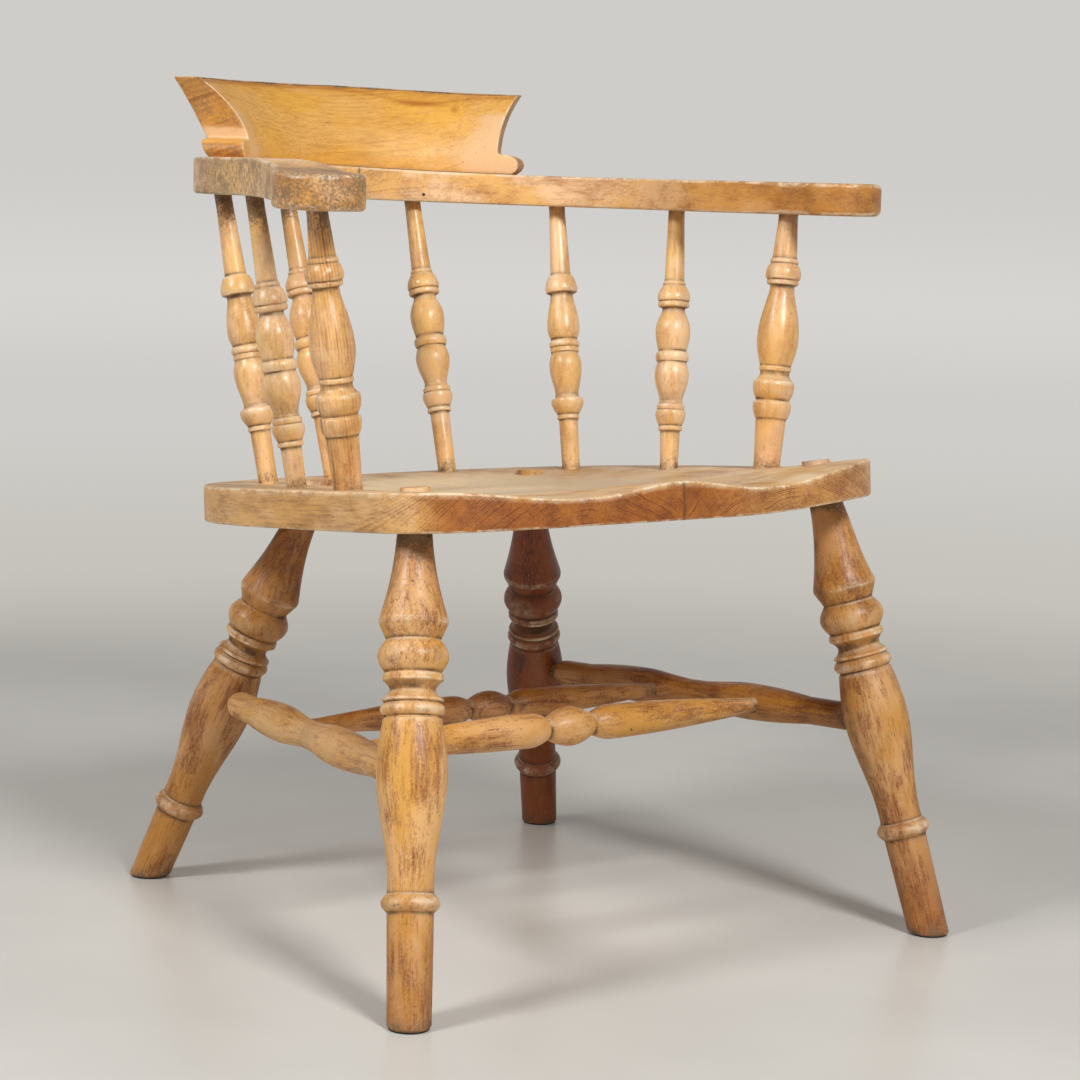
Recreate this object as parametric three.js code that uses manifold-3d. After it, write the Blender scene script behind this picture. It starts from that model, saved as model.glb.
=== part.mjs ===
// Captains chair of the low-backed bow kind: a saddled seat of two boards on four raked, turned
// legs, a bow of two sawn arms on turned posts and spindles, and a flared crest rail over the
// joint of the arms. Millimetres, +Z up, the sitter faces -Y and has +X on the left hand.
//
// Plan places are measured from the centre of the bow's arc. Every turned piece is drawn on
// its own axis, from the named point where it starts to the named point where it ends, and
// every tenon has a socket of its own bored along the same axis.

import * as THREE from 'three';
import { mergeVertices } from 'three/addons/utils/BufferGeometryUtils.js';
import Module from 'manifold-3d';

const wasm = await Module();
wasm.setup();

// Fits
const FIT = 0.3; // clearance round a tenon, at a shoulder and in a butt joint
const OVERRUN = 6; // how far a cut runs past the face it opens

// Seat
const SEAT_TILT = THREE.MathUtils.degToRad(5); // the seat falls towards the back
const SEAT_FRONT_HEIGHT = 441; // rim of the seat at the middle of the front edge
const SEAT_THICKNESS = 34.5;
const SEAT_HALF_WIDTH = 270;
const SEAT_BROADEST_Y = -130; // where the outline is broadest
const SEAT_FRONT_DEPTH = 203; // from there to the front edge
const SEAT_REAR_DEPTH = 326; // from there to the rear edge
const SEAT_FRONT_SQUARENESS = 5.4; // exponents of the two halves of the outline
const SEAT_REAR_SQUARENESS = 3.25;
const SEAT_EDGE_ROUND = 1.5;
const SEAT_OUTLINE_STEPS = 48;
const THIGH_HOLLOW = 10.5; // depth of the two hollows at the front edge
const THIGH_HOLLOW_REACH = 250; // where they run out, from the middle
const BOWL_DEPTH = 11; // depth of the hollow under the sitter
const SADDLE_CELL = 32; // step of the grid that the saddle is cut with

// Legs
const FRONT_FOOT_X = 292;
const FRONT_FOOT_Y = -357;
const FRONT_LEG_SEAT_X = 225; // where the axis comes through the top of the seat
const FRONT_LEG_SEAT_Y = -248;
const REAR_FOOT_X = 239;
const REAR_FOOT_Y = 207;
const REAR_LEG_SEAT_X = 125;
const REAR_LEG_SEAT_Y = 80;
const LEG_SWELL = 60.5; // largest diameter
const LEG_TURNING = 246; // from the sharp edge below the neck to the underside of the low ring
const FRONT_LEG_NECK = 76; // from the underside of the seat to the sharp edge
const REAR_LEG_NECK = 82;
const LEG_TENON = 26; // diameter of the through tenon
const LEG_TENON_PROUD = 3; // height of the tenon over the rim of the seat

// Arm bow
const ARM_UNDERSIDE = 671;
const ARM_THICKNESS = 31;
const ARM_EDGE_ROUND = 2.5;
const BOW_RADIUS = 243; // to the middle of the bow's width
const BOW_WIDTH = 54;
const GRIP_X = 291; // centre of the rounded hand grip
const GRIP_Y = -192;
const GRIP_RADIUS = 40;
const LEDGE_X = 298; // small ledge where the grip widens on the outer side
const LEDGE_Y = -128;
const LEDGE_STEP = 5;
const LEDGE_SWEEP = 20; // length of the hollow that leads from the ledge to the grip
const GRIP_INNER_TURN = THREE.MathUtils.degToRad(171); // ends of the grip's round, about its centre
const GRIP_OUTER_TURN = THREE.MathUtils.degToRad(31);

// Arm posts and spindles
const POST_SWELL = 41.5;
const POST_SEAT_X = 238;
const POST_SEAT_Y = -160;
const POST_SET_IN = 25; // top of the post from the centre of the grip, inwards
const POST_SET_BACK = 45; // and backwards
const SPINDLE_SWELL = 34;
const SPINDLE_TURNING = 160; // length that the turned shapes are drawn over
const SPINDLE_RING_DROP = 147; // middle ring below the underside of the arm
const SPINDLE_SPREAD = THREE.MathUtils.degToRad(36); // from one spindle to the next on the bow
const FRONT_SPINDLE_SEAT_X = 216;
const FRONT_SPINDLE_SEAT_Y = -34;
const MIDDLE_SPINDLE_SEAT_X = 179;
const MIDDLE_SPINDLE_SEAT_Y = 82;
const BACK_SPINDLE_SEAT_X = 68;
const BACK_SPINDLE_SEAT_Y = 145;
const SEAT_SOCKET_DEPTH = 23;
const ARM_SOCKET_DEPTH = 20;
const STRAIGHT_LEAD = 7; // straight stretch of a tenon outside its socket

// Stretchers
const SIDE_STRETCHER_SWELL = 36;
const SIDE_STRETCHER_FRONT_HEIGHT = 199; // on the axis of the front leg
const SIDE_STRETCHER_REAR_HEIGHT = 184;
const FRONT_CROSS_SWELL = 37;
const REAR_CROSS_SWELL = 32;
const FRONT_CROSS_PLACE = 139; // along the side stretcher, from the axis of the front leg
const REAR_CROSS_PLACE = 188; // along the side stretcher, from the axis of the rear leg
const LEG_CORE = 9; // wood left between the axis of a leg and the end of a stretcher
const STRETCHER_CORE = 4.5; // the same in a side stretcher
const STRETCHER_LEAD = 9; // straight stretch of a stretcher past the piece that carries it

// Crest rail
const CREST_HEIGHT = 88;
const CREST_FOOT_INSIDE = 232; // radius of the hollow front face at the foot
const CREST_FLARE_INSIDE = 49; // how far that face falls back at the top
const CREST_FLARE_OUTSIDE = 38;
const CREST_NECK_ANGLE = THREE.MathUtils.degToRad(39);
const CREST_TOP_ANGLE = THREE.MathUtils.degToRad(42.5);
const CREST_LOBE_ANGLE = THREE.MathUtils.degToRad(44.3);
const CREST_STEPS = 14;

// Dowels between the bow and the crest rail
const DOWEL_DIAMETER = 10;
const DOWEL_DEPTH = 20; // in each of the two pieces
const INNER_DOWEL_ANGLE = THREE.MathUtils.degToRad(7); // from the joint of the arms
const OUTER_DOWEL_ANGLE = THREE.MathUtils.degToRad(31);

// Facets round each kind of turned piece, and steps along the curves of its outline
const LEG_FACETS = 12;
const POST_FACETS = 12;
const SPINDLE_FACETS = 10;
const STRETCHER_FACETS = 8;
const DOWEL_FACETS = 8;
const CURVE_STEP = 14;
const FEWEST_STEPS = 2;
const MOST_STEPS = 4;
const ARM_CURVE_STEPS = 7;

const WELD = 1e-5; // vertices closer than this are one
const UP = new THREE.Vector3(0, 0, 1);
const BOW_INSIDE = BOW_RADIUS - BOW_WIDTH / 2;
const BOW_OUTSIDE = BOW_RADIUS + BOW_WIDTH / 2;
const ARM_TOP = ARM_UNDERSIDE + ARM_THICKNESS;
const CREST_BOTTOM = ARM_TOP + FIT;
const SEAT_FRONT_Y = SEAT_BROADEST_Y - SEAT_FRONT_DEPTH;

// Height of the seat's rim plane over a plan place
const seatHeight = (y) => SEAT_FRONT_HEIGHT - (y - SEAT_FRONT_Y) * Math.tan(SEAT_TILT);
const onSeat = (x, y) => new THREE.Vector3(x, y, seatHeight(y));

// Turned shapes. Each step runs on from the point before it to [kind, place share, diameter
// share, bulge share]. A line is straight, a bow bulges by a sine arch (outwards as a bead,
// inwards as a cove), a swell runs level at both ends, a rise only at its far end and a fall
// only at its near end. Places are shares of the turning's length, diameters of its swell.

const legStartShare = 0.496;
const legTurningShares = [
  ['bow', 0, 0.983, -0.085],
  ['line', 0.012, 0.983],
  ['line', 0.069, 0.769],
  ['bow', 0.185, 0.777, 0.23],
  ['line', 0.188, 0.853],
  ['line', 0.211, 0.863],
  ['line', 0.214, 0.8],
  ['bow', 0.27, 0.8, -0.15],
  ['line', 0.272, 0.853],
  ['bow', 0.333, 0.82, 0.055],
  ['line', 0.337, 0.787],
  ['line', 0.343, 0.815],
  ['rise', 0.52, 1],
  ['swell', 0.902, 0.648],
  ['line', 0.935, 0.655],
  ['bow', 1, 0.655, 0.175],
];
const legFootShare = 0.62; // diameter where the foot meets the floor

const postStartShare = 0.627;
const postTurningShares = [
  ['line', 0.182, 0.76],
  ['bow', 0.207, 0.935, -0.03],
  ['line', 0.22, 0.935],
  ['line', 0.252, 0.77],
  ['bow', 0.343, 0.72, 0.255],
  ['bow', 0.376, 0.7, -0.16],
  ['line', 0.378, 0.73],
  ['line', 0.397, 0.735],
  ['swell', 0.517, 0.976],
  ['fall', 0.7, 0.545],
  ['line', 0.706, 0.745],
  ['line', 0.731, 0.72],
  ['bow', 0.8, 0.67, 0.165],
  ['line', 0.826, 0.64],
  ['line', 0.835, 0.55],
  ['line', 0.86, 0.515],
];
const postTopShare = 0.458;

// Places on a spindle are measured from its middle ring
const spindleFootShare = 0.54;
const spindleTopShare = 0.485;
const beadedSpindleShares = [
  ['line', -0.49, 0.53],
  ['line', -0.488, 0.66],
  ['line', -0.445, 0.66],
  ['line', -0.435, 0.6],
  ['bow', -0.318, 0.79, 0.2],
  ['line', -0.3, 0.8],
  ['bow', -0.262, 0.6, -0.03],
  ['swell', -0.119, 1],
  ['fall', -0.031, 0.79],
  ['line', -0.028, 0.92],
  ['line', 0, 1],
  ['line', 0.028, 0.92],
  ['line', 0.031, 0.79],
  ['swell', 0.156, 1],
  ['fall', 0.3, 0.606],
  ['line', 0.328, 0.82],
  ['line', 0.352, 0.82],
  ['line', 0.36, 0.66],
  ['bow', 0.45, 0.74, 0.22],
  ['line', 0.475, 0.727],
  ['line', 0.485, 0.64],
  ['line', 0.53, 0.606],
];
const belledSpindleShares = [
  ['line', -0.45, 0.59],
  ['line', -0.448, 0.685],
  ['line', -0.432, 0.685],
  ['bow', -0.356, 0.95, -0.05],
  ['line', -0.345, 0.9],
  ['bow', -0.3, 0.65, -0.03],
  ['swell', -0.125, 0.97],
  ['fall', -0.031, 0.76],
  ['line', -0.028, 0.85],
  ['line', 0, 0.9],
  ['line', 0.028, 0.85],
  ['line', 0.031, 0.76],
  ['swell', 0.14, 0.97],
  ['fall', 0.315, 0.715],
  ['bow', 0.366, 0.95, -0.05],
  ['line', 0.378, 0.93],
  ['bow', 0.466, 0.58, -0.05],
];

// Half of a stretcher, from its end to its middle, on shares of the half length
const stretcherEndShare = 0.42;
const sideStretcherShares = [
  ['rise', 0.62, 1],
  ['swell', 1, 0.73],
];
const crossStretcherShares = [
  ['rise', 0.78, 0.89],
  ['fall', 0.87, 0.62],
  ['line', 0.877, 0.53],
  ['rise', 1, 1],
];

// Half outline of the crest rail's end: [height share, angle share from the neck to the lobe]
const crestLobeShares = [
  [0, 0.72],
  [0.05, 0.93],
  [0.11, 1],
  [0.17, 0.9],
  [0.21, 0.55],
  [0.23, 0.05],
];
// and above the neck, where the angle grows towards the top: height shares of the rows
const crestRowShares = [0.3, 0.42, 0.54, 0.66, 0.78, 0.89, 1];
const CREST_HOLLOW_POWER = 2.1;

// Share of a step's change of diameter that is reached at a share t of its length
const blends = {
  line: (t) => t,
  bow: (t) => t,
  swell: (t) => (1 - Math.cos(Math.PI * t)) / 2,
  rise: (t) => Math.sin((Math.PI * t) / 2),
  fall: (t) => 1 - Math.cos((Math.PI * t) / 2),
};

// Points of a turned outline, as Vector2(radius, place)
function turnedOutline(startPlace, startDiameter, shapes, length, swell) {
  const points = [new THREE.Vector2(startDiameter / 2, startPlace)];
  for (const [kind, placeShare, diameterShare, bulgeShare = 0] of shapes) {
    const from = points[points.length - 1];
    const to = new THREE.Vector2((diameterShare * swell) / 2, placeShare * length);
    const steps = Math.ceil(Math.abs(to.y - from.y) / CURVE_STEP);
    const count = kind === 'line' ? 1 : THREE.MathUtils.clamp(steps, FEWEST_STEPS, MOST_STEPS);
    for (let i = 1; i <= count; i += 1) {
      const t = i / count;
      const bulge = (Math.sin(Math.PI * t) * bulgeShare * swell) / 2;
      const radius = from.x + (to.x - from.x) * blends[kind](t) + bulge;
      points.push(new THREE.Vector2(radius, from.y + (to.y - from.y) * t));
    }
  }
  return points;
}

// Lathe turned round +Z, closed on the axis at both ends
function turn(outline, facets) {
  const first = outline[0];
  const last = outline[outline.length - 1];
  const closed = [new THREE.Vector2(0, first.y), ...outline, new THREE.Vector2(0, last.y)];
  return new THREE.LatheGeometry(closed, facets).rotateX(Math.PI / 2);
}

const shiftOutline = (outline, by) => outline.map((p) => new THREE.Vector2(p.x, p.y + by));

// Placement of a piece that starts at one point and runs towards another along its own +Z
function along(start, end) {
  const turnTo = new THREE.Quaternion().setFromUnitVectors(UP, end.clone().sub(start).normalize());
  return new THREE.Matrix4().compose(start, turnTo, new THREE.Vector3(1, 1, 1));
}

const pointOn = (start, end, distance) =>
  start.clone().add(end.clone().sub(start).setLength(distance));

// Straight round cutter or tenon in its axis's own frame
function rod(diameter, from, to, facets) {
  const outline = [new THREE.Vector2(diameter / 2, from), new THREE.Vector2(diameter / 2, to)];
  return turn(outline, facets);
}

// Solids
function solidOf(geometry, placement = new THREE.Matrix4()) {
  const copy = geometry.clone().applyMatrix4(placement);
  copy.deleteAttribute('normal');
  copy.deleteAttribute('uv');
  const merged = mergeVertices(copy, WELD);
  return new wasm.Manifold(
    new wasm.Mesh({
      numProp: 3,
      vertProperties: Float32Array.from(merged.attributes.position.array),
      triVerts: Uint32Array.from(merged.index.array),
    }),
  );
}

function geometryOf(solid) {
  const mesh = solid.getMesh();
  const geometry = new THREE.BufferGeometry();
  geometry.setAttribute('position', new THREE.BufferAttribute(mesh.vertProperties, 3));
  geometry.setIndex(new THREE.BufferAttribute(mesh.triVerts, 1));
  const faceted = geometry.toNonIndexed();
  faceted.computeVertexNormals();
  return faceted;
}

const without = (solid, cutters) => cutters.reduce((left, cutter) => left.subtract(cutter), solid);

// Materials
const finish = (color, roughness) =>
  new THREE.MeshStandardMaterial({ color, roughness, metalness: 0 });
const turnedWood = () => finish(0xc8935a, 0.5);
const seatWood = () => finish(0xc4a077, 0.6);
const bowWood = () => finish(0xcf9a55, 0.45);
const crestWood = () => finish(0xd6a256, 0.42);

const chair = new THREE.Group();

// Adds a piece whose solid is given in the placement's own frame
function addPiece(name, solid, placement, material) {
  const mesh = new THREE.Mesh(geometryOf(solid), material);
  mesh.name = name;
  placement.decompose(mesh.position, mesh.quaternion, mesh.scale);
  chair.add(mesh);
}

// The two hands of the chair: the sitter's left is +X
const HANDS = [
  { hand: 'left', side: 1 },
  { hand: 'right', side: -1 },
];
const mirrored = (point, side) => new THREE.Vector3(point.x * side, point.y, point.z);

// Frames and blocks that trim the pieces
const seatFrame = new THREE.Matrix4()
  .makeRotationX(-SEAT_TILT)
  .setPosition(0, 0, seatHeight(0));
const TRIM_SIZE = 4 * SEAT_HALF_WIDTH;

// Large block whose lower face lies at a height over the seat's rim plane
function blockOverSeat(height) {
  const block = new THREE.BoxGeometry(TRIM_SIZE, TRIM_SIZE, TRIM_SIZE);
  return block.translate(0, 0, height + TRIM_SIZE / 2).applyMatrix4(seatFrame);
}
const belowFloor = new THREE.BoxGeometry(TRIM_SIZE, TRIM_SIZE, TRIM_SIZE);
belowFloor.translate(0, 0, -TRIM_SIZE / 2);

// Cutters gathered for the pieces that carry sockets, all in the chair's frame
const sockets = {
  seat: [],
  left: { leg: {}, side: [], arm: [] },
  right: { leg: {}, side: [], arm: [] },
};

// Legs
const LEGS = [
  {
    end: 'front',
    foot: new THREE.Vector3(FRONT_FOOT_X, FRONT_FOOT_Y, 0),
    seat: onSeat(FRONT_LEG_SEAT_X, FRONT_LEG_SEAT_Y),
    neck: FRONT_LEG_NECK,
    stretcherHeight: SIDE_STRETCHER_FRONT_HEIGHT,
  },
  {
    end: 'rear',
    foot: new THREE.Vector3(REAR_FOOT_X, REAR_FOOT_Y, 0),
    seat: onSeat(REAR_LEG_SEAT_X, REAR_LEG_SEAT_Y),
    neck: REAR_LEG_NECK,
    stretcherHeight: SIDE_STRETCHER_REAR_HEIGHT,
  },
];

// Length of a leg's axis inside the seat, which it crosses at a slant
function crossingOf(leg) {
  const down = leg.foot.clone().sub(leg.seat).normalize();
  const seatNormal = UP.clone().applyAxisAngle(new THREE.Vector3(1, 0, 0), -SEAT_TILT);
  return SEAT_THICKNESS / Math.abs(down.dot(seatNormal));
}

// A point on a leg's axis at a height over the floor
function onLeg(leg, height) {
  return leg.foot.clone().lerp(leg.seat, height / leg.seat.z);
}

// Stretchers: the places of their axes first, because legs and side stretchers are bored for them
const sideStretcherEnds = LEGS.map((leg) => onLeg(leg, leg.stretcherHeight));
const crossPlaces = [
  {
    end: 'front',
    swell: FRONT_CROSS_SWELL,
    place: pointOn(sideStretcherEnds[0], sideStretcherEnds[1], FRONT_CROSS_PLACE),
  },
  {
    end: 'rear',
    swell: REAR_CROSS_SWELL,
    place: pointOn(sideStretcherEnds[1], sideStretcherEnds[0], REAR_CROSS_PLACE),
  },
];

// A stretcher between two points on the axes that carry it, with both ends held back from them
function stretcherSolid(span, core, straight, shares, swell) {
  const half = span / 2 - core;
  const turned = half - straight;
  const endDiameter = stretcherEndShare * swell;
  const halfOutline = turnedOutline(0, endDiameter, shares, turned, swell);
  const lower = [new THREE.Vector2(endDiameter / 2, -straight), ...halfOutline];
  const fromEnd = shiftOutline(lower, core + straight);
  const upper = fromEnd.slice(0, -1).map((p) => new THREE.Vector2(p.x, span - p.y));
  return solidOf(turn([...fromEnd, ...upper.reverse()], STRETCHER_FACETS));
}

// Sockets for both ends of a stretcher, which stop a core away from the points it is aimed at
function stretcherSockets(start, end, core, swell, reach) {
  const diameter = stretcherEndShare * swell + 2 * FIT;
  const span = start.distanceTo(end);
  return [
    rod(diameter, core - FIT, core + reach, STRETCHER_FACETS),
    rod(diameter, span - core - reach, span - core + FIT, STRETCHER_FACETS),
  ].map((cutter) => solidOf(cutter, along(start, end)));
}

for (const cross of crossPlaces) {
  const left = cross.place;
  const right = mirrored(cross.place, -1);
  const solid = stretcherSolid(
    left.distanceTo(right),
    STRETCHER_CORE,
    SIDE_STRETCHER_SWELL / 2 - STRETCHER_CORE + STRETCHER_LEAD,
    crossStretcherShares,
    cross.swell,
  );
  addPiece(`cross_stretcher_${cross.end}`, solid, along(right, left), turnedWood());
  const ends = stretcherSockets(right, left, STRETCHER_CORE, cross.swell, SIDE_STRETCHER_SWELL);
  sockets.right.side.push(ends[0]);
  sockets.left.side.push(ends[1]);
}

for (const { hand, side } of HANDS) {
  const [front, rear] = sideStretcherEnds.map((point) => mirrored(point, side));
  const ends = stretcherSockets(front, rear, LEG_CORE, SIDE_STRETCHER_SWELL, LEG_SWELL);
  [sockets[hand].leg.front, sockets[hand].leg.rear] = ends;
  const placement = along(front, rear);
  const solid = stretcherSolid(
    front.distanceTo(rear),
    LEG_CORE,
    LEG_SWELL / 2 - LEG_CORE + STRETCHER_LEAD,
    sideStretcherShares,
    SIDE_STRETCHER_SWELL,
  );
  const toLocal = placement.clone().invert();
  const cutters = sockets[hand].side.map((cutter) => cutter.transform(toLocal.elements));
  addPiece(`side_stretcher_${hand}`, without(solid, cutters), placement, turnedWood());
}

// A leg is drawn from its place in the seat downwards: neck, turning, foot
function legOutline(leg) {
  const crossing = crossingOf(leg);
  const edge = crossing + leg.neck;
  const start = (legStartShare * LEG_SWELL) / 2;
  const turning = turnedOutline(-leg.neck, 2 * start, legTurningShares, LEG_TURNING, LEG_SWELL);
  const body = shiftOutline(turning, edge);
  const foot = leg.seat.distanceTo(leg.foot) + LEG_SWELL / 2;
  body.unshift(new THREE.Vector2(start, 0));
  body.push(new THREE.Vector2((legFootShare * LEG_SWELL) / 2, foot));
  return body;
}

for (const { hand, side } of HANDS) {
  for (const leg of LEGS) {
    const seat = mirrored(leg.seat, side);
    const placement = along(seat, mirrored(leg.foot, side));
    const toLocal = placement.clone().invert();
    const trim = (geometry) => solidOf(geometry, toLocal);
    const stretcherHole = sockets[hand].leg[leg.end].transform(toLocal.elements);
    const body = without(solidOf(turn(legOutline(leg), LEG_FACETS)), [
      trim(blockOverSeat(-SEAT_THICKNESS - FIT)),
      trim(belowFloor),
      stretcherHole,
    ]);
    const tenonEnd = crossingOf(leg) + leg.neck / 2;
    const tenon = solidOf(rod(LEG_TENON, -LEG_TENON, tenonEnd, LEG_FACETS));
    const cutTenon = without(tenon, [trim(blockOverSeat(LEG_TENON_PROUD))]);
    const name = `leg_${leg.end}_${hand}`;
    addPiece(name, body.add(cutTenon), placement, turnedWood());
    const bore = rod(LEG_TENON + 2 * FIT, -LEG_TENON, tenonEnd, LEG_FACETS);
    sockets.seat.push(solidOf(bore, placement));
  }
}

// Arm posts and spindles stand on the seat and run into the underside of the arms
function standingOutline(span, foot, top, turning) {
  const lead = STRAIGHT_LEAD;
  return [
    new THREE.Vector2(foot / 2, -SEAT_SOCKET_DEPTH),
    new THREE.Vector2(foot / 2, lead),
    ...turning,
    new THREE.Vector2(top / 2, span - lead),
    new THREE.Vector2(top / 2, span + ARM_SOCKET_DEPTH),
  ];
}

function addStanding(name, hand, foot, head, outline, footSize, topSize, facets) {
  const placement = along(foot, head);
  addPiece(name, solidOf(turn(outline, facets)), placement, turnedWood());
  const span = foot.distanceTo(head);
  const seatBore = rod(footSize + 2 * FIT, -SEAT_SOCKET_DEPTH - FIT, SEAT_SOCKET_DEPTH, facets);
  sockets.seat.push(solidOf(seatBore, placement));
  const armEnd = span + ARM_SOCKET_DEPTH + FIT;
  const armBore = rod(topSize + 2 * FIT, span - ARM_SOCKET_DEPTH, armEnd, facets);
  sockets[hand].arm.push(solidOf(armBore, placement));
}

for (const { hand, side } of HANDS) {
  const foot = mirrored(onSeat(POST_SEAT_X, POST_SEAT_Y), side);
  const head = new THREE.Vector3(GRIP_X - POST_SET_IN, GRIP_Y + POST_SET_BACK, ARM_UNDERSIDE);
  head.x *= side;
  const span = foot.distanceTo(head);
  const footSize = postStartShare * POST_SWELL;
  const topSize = postTopShare * POST_SWELL;
  const turning = turnedOutline(STRAIGHT_LEAD, footSize, postTurningShares, span, POST_SWELL);
  const outline = standingOutline(span, footSize, topSize, turning.slice(1));
  addStanding(`arm_post_${hand}`, hand, foot, head, outline, footSize, topSize, POST_FACETS);
}

// A place on the bow at an angle from the sitter's left hand, at a radius and height
const onBow = (angle, radius, height) =>
  new THREE.Vector3(radius * Math.cos(angle), radius * Math.sin(angle), height);

const SPINDLES = [
  { place: 'front', x: FRONT_SPINDLE_SEAT_X, y: FRONT_SPINDLE_SEAT_Y, shares: beadedSpindleShares },
  { place: 'middle', x: MIDDLE_SPINDLE_SEAT_X, y: MIDDLE_SPINDLE_SEAT_Y, shares: belledSpindleShares },
  { place: 'back', x: BACK_SPINDLE_SEAT_X, y: BACK_SPINDLE_SEAT_Y, shares: beadedSpindleShares },
];

for (const { hand, side } of HANDS) {
  SPINDLES.forEach((spindle, index) => {
    const foot = mirrored(onSeat(spindle.x, spindle.y), side);
    const head = mirrored(onBow(SPINDLE_SPREAD * index, BOW_RADIUS, ARM_UNDERSIDE), side);
    const span = foot.distanceTo(head);
    const footSize = spindleFootShare * SPINDLE_SWELL;
    const topSize = spindleTopShare * SPINDLE_SWELL;
    const drawn = turnedOutline(0, 0, spindle.shares, SPINDLE_TURNING, SPINDLE_SWELL).slice(1);
    const turning = shiftOutline(drawn, span - SPINDLE_RING_DROP);
    const outline = standingOutline(span, footSize, topSize, turning);
    const name = `spindle_${spindle.place}_${hand}`;
    addStanding(name, hand, foot, head, outline, footSize, topSize, SPINDLE_FACETS);
  });
}

// Seat: an outline of two half superellipses that meet where the seat is broadest
function seatOutlinePoint(t) {
  const c = Math.cos(t);
  const s = Math.sin(t);
  const power = 2 / (s < 0 ? SEAT_FRONT_SQUARENESS : SEAT_REAR_SQUARENESS);
  const depth = s < 0 ? SEAT_FRONT_DEPTH : SEAT_REAR_DEPTH;
  const x = Math.sign(c) * Math.abs(c) ** power * SEAT_HALF_WIDTH;
  const y = Math.sign(s) * Math.abs(s) ** power * depth;
  return new THREE.Vector2(x, y + SEAT_BROADEST_Y);
}

// How far out a place lies, from 0 at the middle to 1 on the outline
function seatReach(x, y) {
  const ahead = y < SEAT_BROADEST_Y;
  const power = ahead ? SEAT_FRONT_SQUARENESS : SEAT_REAR_SQUARENESS;
  const depth = ahead ? SEAT_FRONT_DEPTH : SEAT_REAR_DEPTH;
  const across = Math.abs(x / SEAT_HALF_WIDTH) ** SEAT_REAR_SQUARENESS;
  const along = Math.abs((y - SEAT_BROADEST_Y) / depth) ** power;
  return (across + (ahead ? 0 : along)) ** (1 / SEAT_REAR_SQUARENESS);
}

const bowlEdgeShare = 0.9;
const bowlFlatShare = 0.42;
const pommelLengthShare = 0.85; // of the front depth, from the front edge back
const hollowBalance = 0.85; // moves the deepest place of a thigh hollow towards the middle

// Depth of the saddle under the rim plane
function saddleDepth(x, y) {
  const bowl = BOWL_DEPTH * (1 - THREE.MathUtils.smoothstep(seatReach(x, y), bowlFlatShare, bowlEdgeShare));
  const across = Math.min(Math.abs(x) / THIGH_HOLLOW_REACH, 1) ** hollowBalance;
  const hollow = THIGH_HOLLOW * Math.sin(Math.PI * across) ** 2;
  const back = SEAT_FRONT_Y + SEAT_FRONT_DEPTH * pommelLengthShare;
  const blend = THREE.MathUtils.smoothstep(y, SEAT_FRONT_Y, back);
  return hollow * (1 - blend) + bowl * blend;
}

function seatSolid() {
  const outline = [];
  for (let i = 0; i < SEAT_OUTLINE_STEPS; i += 1) {
    outline.push(seatOutlinePoint((2 * Math.PI * i) / SEAT_OUTLINE_STEPS));
  }
  const slab = new THREE.ExtrudeGeometry(new THREE.Shape(outline), {
    depth: SEAT_THICKNESS - 2 * SEAT_EDGE_ROUND,
    bevelThickness: SEAT_EDGE_ROUND,
    bevelSize: SEAT_EDGE_ROUND,
    bevelOffset: -SEAT_EDGE_ROUND,
    bevelSegments: 1,
  });
  slab.translate(0, 0, SEAT_EDGE_ROUND - SEAT_THICKNESS);
  const width = 2 * SEAT_HALF_WIDTH + 2 * OVERRUN;
  const length = SEAT_FRONT_DEPTH + SEAT_REAR_DEPTH + 2 * OVERRUN;
  const columns = Math.ceil(width / SADDLE_CELL / 2) * 2;
  const rows = Math.ceil(length / SADDLE_CELL);
  const saddle = new THREE.BoxGeometry(width, length, OVERRUN, columns, rows, 1);
  saddle.translate(0, SEAT_BROADEST_Y + (SEAT_REAR_DEPTH - SEAT_FRONT_DEPTH) / 2, OVERRUN / 2);
  const place = saddle.attributes.position;
  for (let i = 0; i < place.count; i += 1) {
    const depth = saddleDepth(place.getX(i), place.getY(i));
    if (place.getZ(i) < OVERRUN / 2) {
      place.setZ(i, -depth);
    }
  }
  return solidOf(slab).subtract(solidOf(saddle));
}

const seat = seatSolid();
const seatSockets = sockets.seat.map((cutter) =>
  cutter.transform(seatFrame.clone().invert().elements),
);
for (const { hand, side } of HANDS) {
  const half = new THREE.BoxGeometry(TRIM_SIZE, TRIM_SIZE, TRIM_SIZE);
  half.translate((side * (TRIM_SIZE + FIT)) / 2, 0, 0);
  const board = seat.intersect(solidOf(half));
  addPiece(`seat_board_${hand}`, without(board, seatSockets), seatFrame, seatWood());
}

// Shares of the arm's forward run where its inner edge leaves the bow and meets the grip, and of
// the grip's offset from the bow where the edge bends in between
const innerEdgeShares = [0.36, 0.62];
const innerWaistShare = 0.57;

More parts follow.
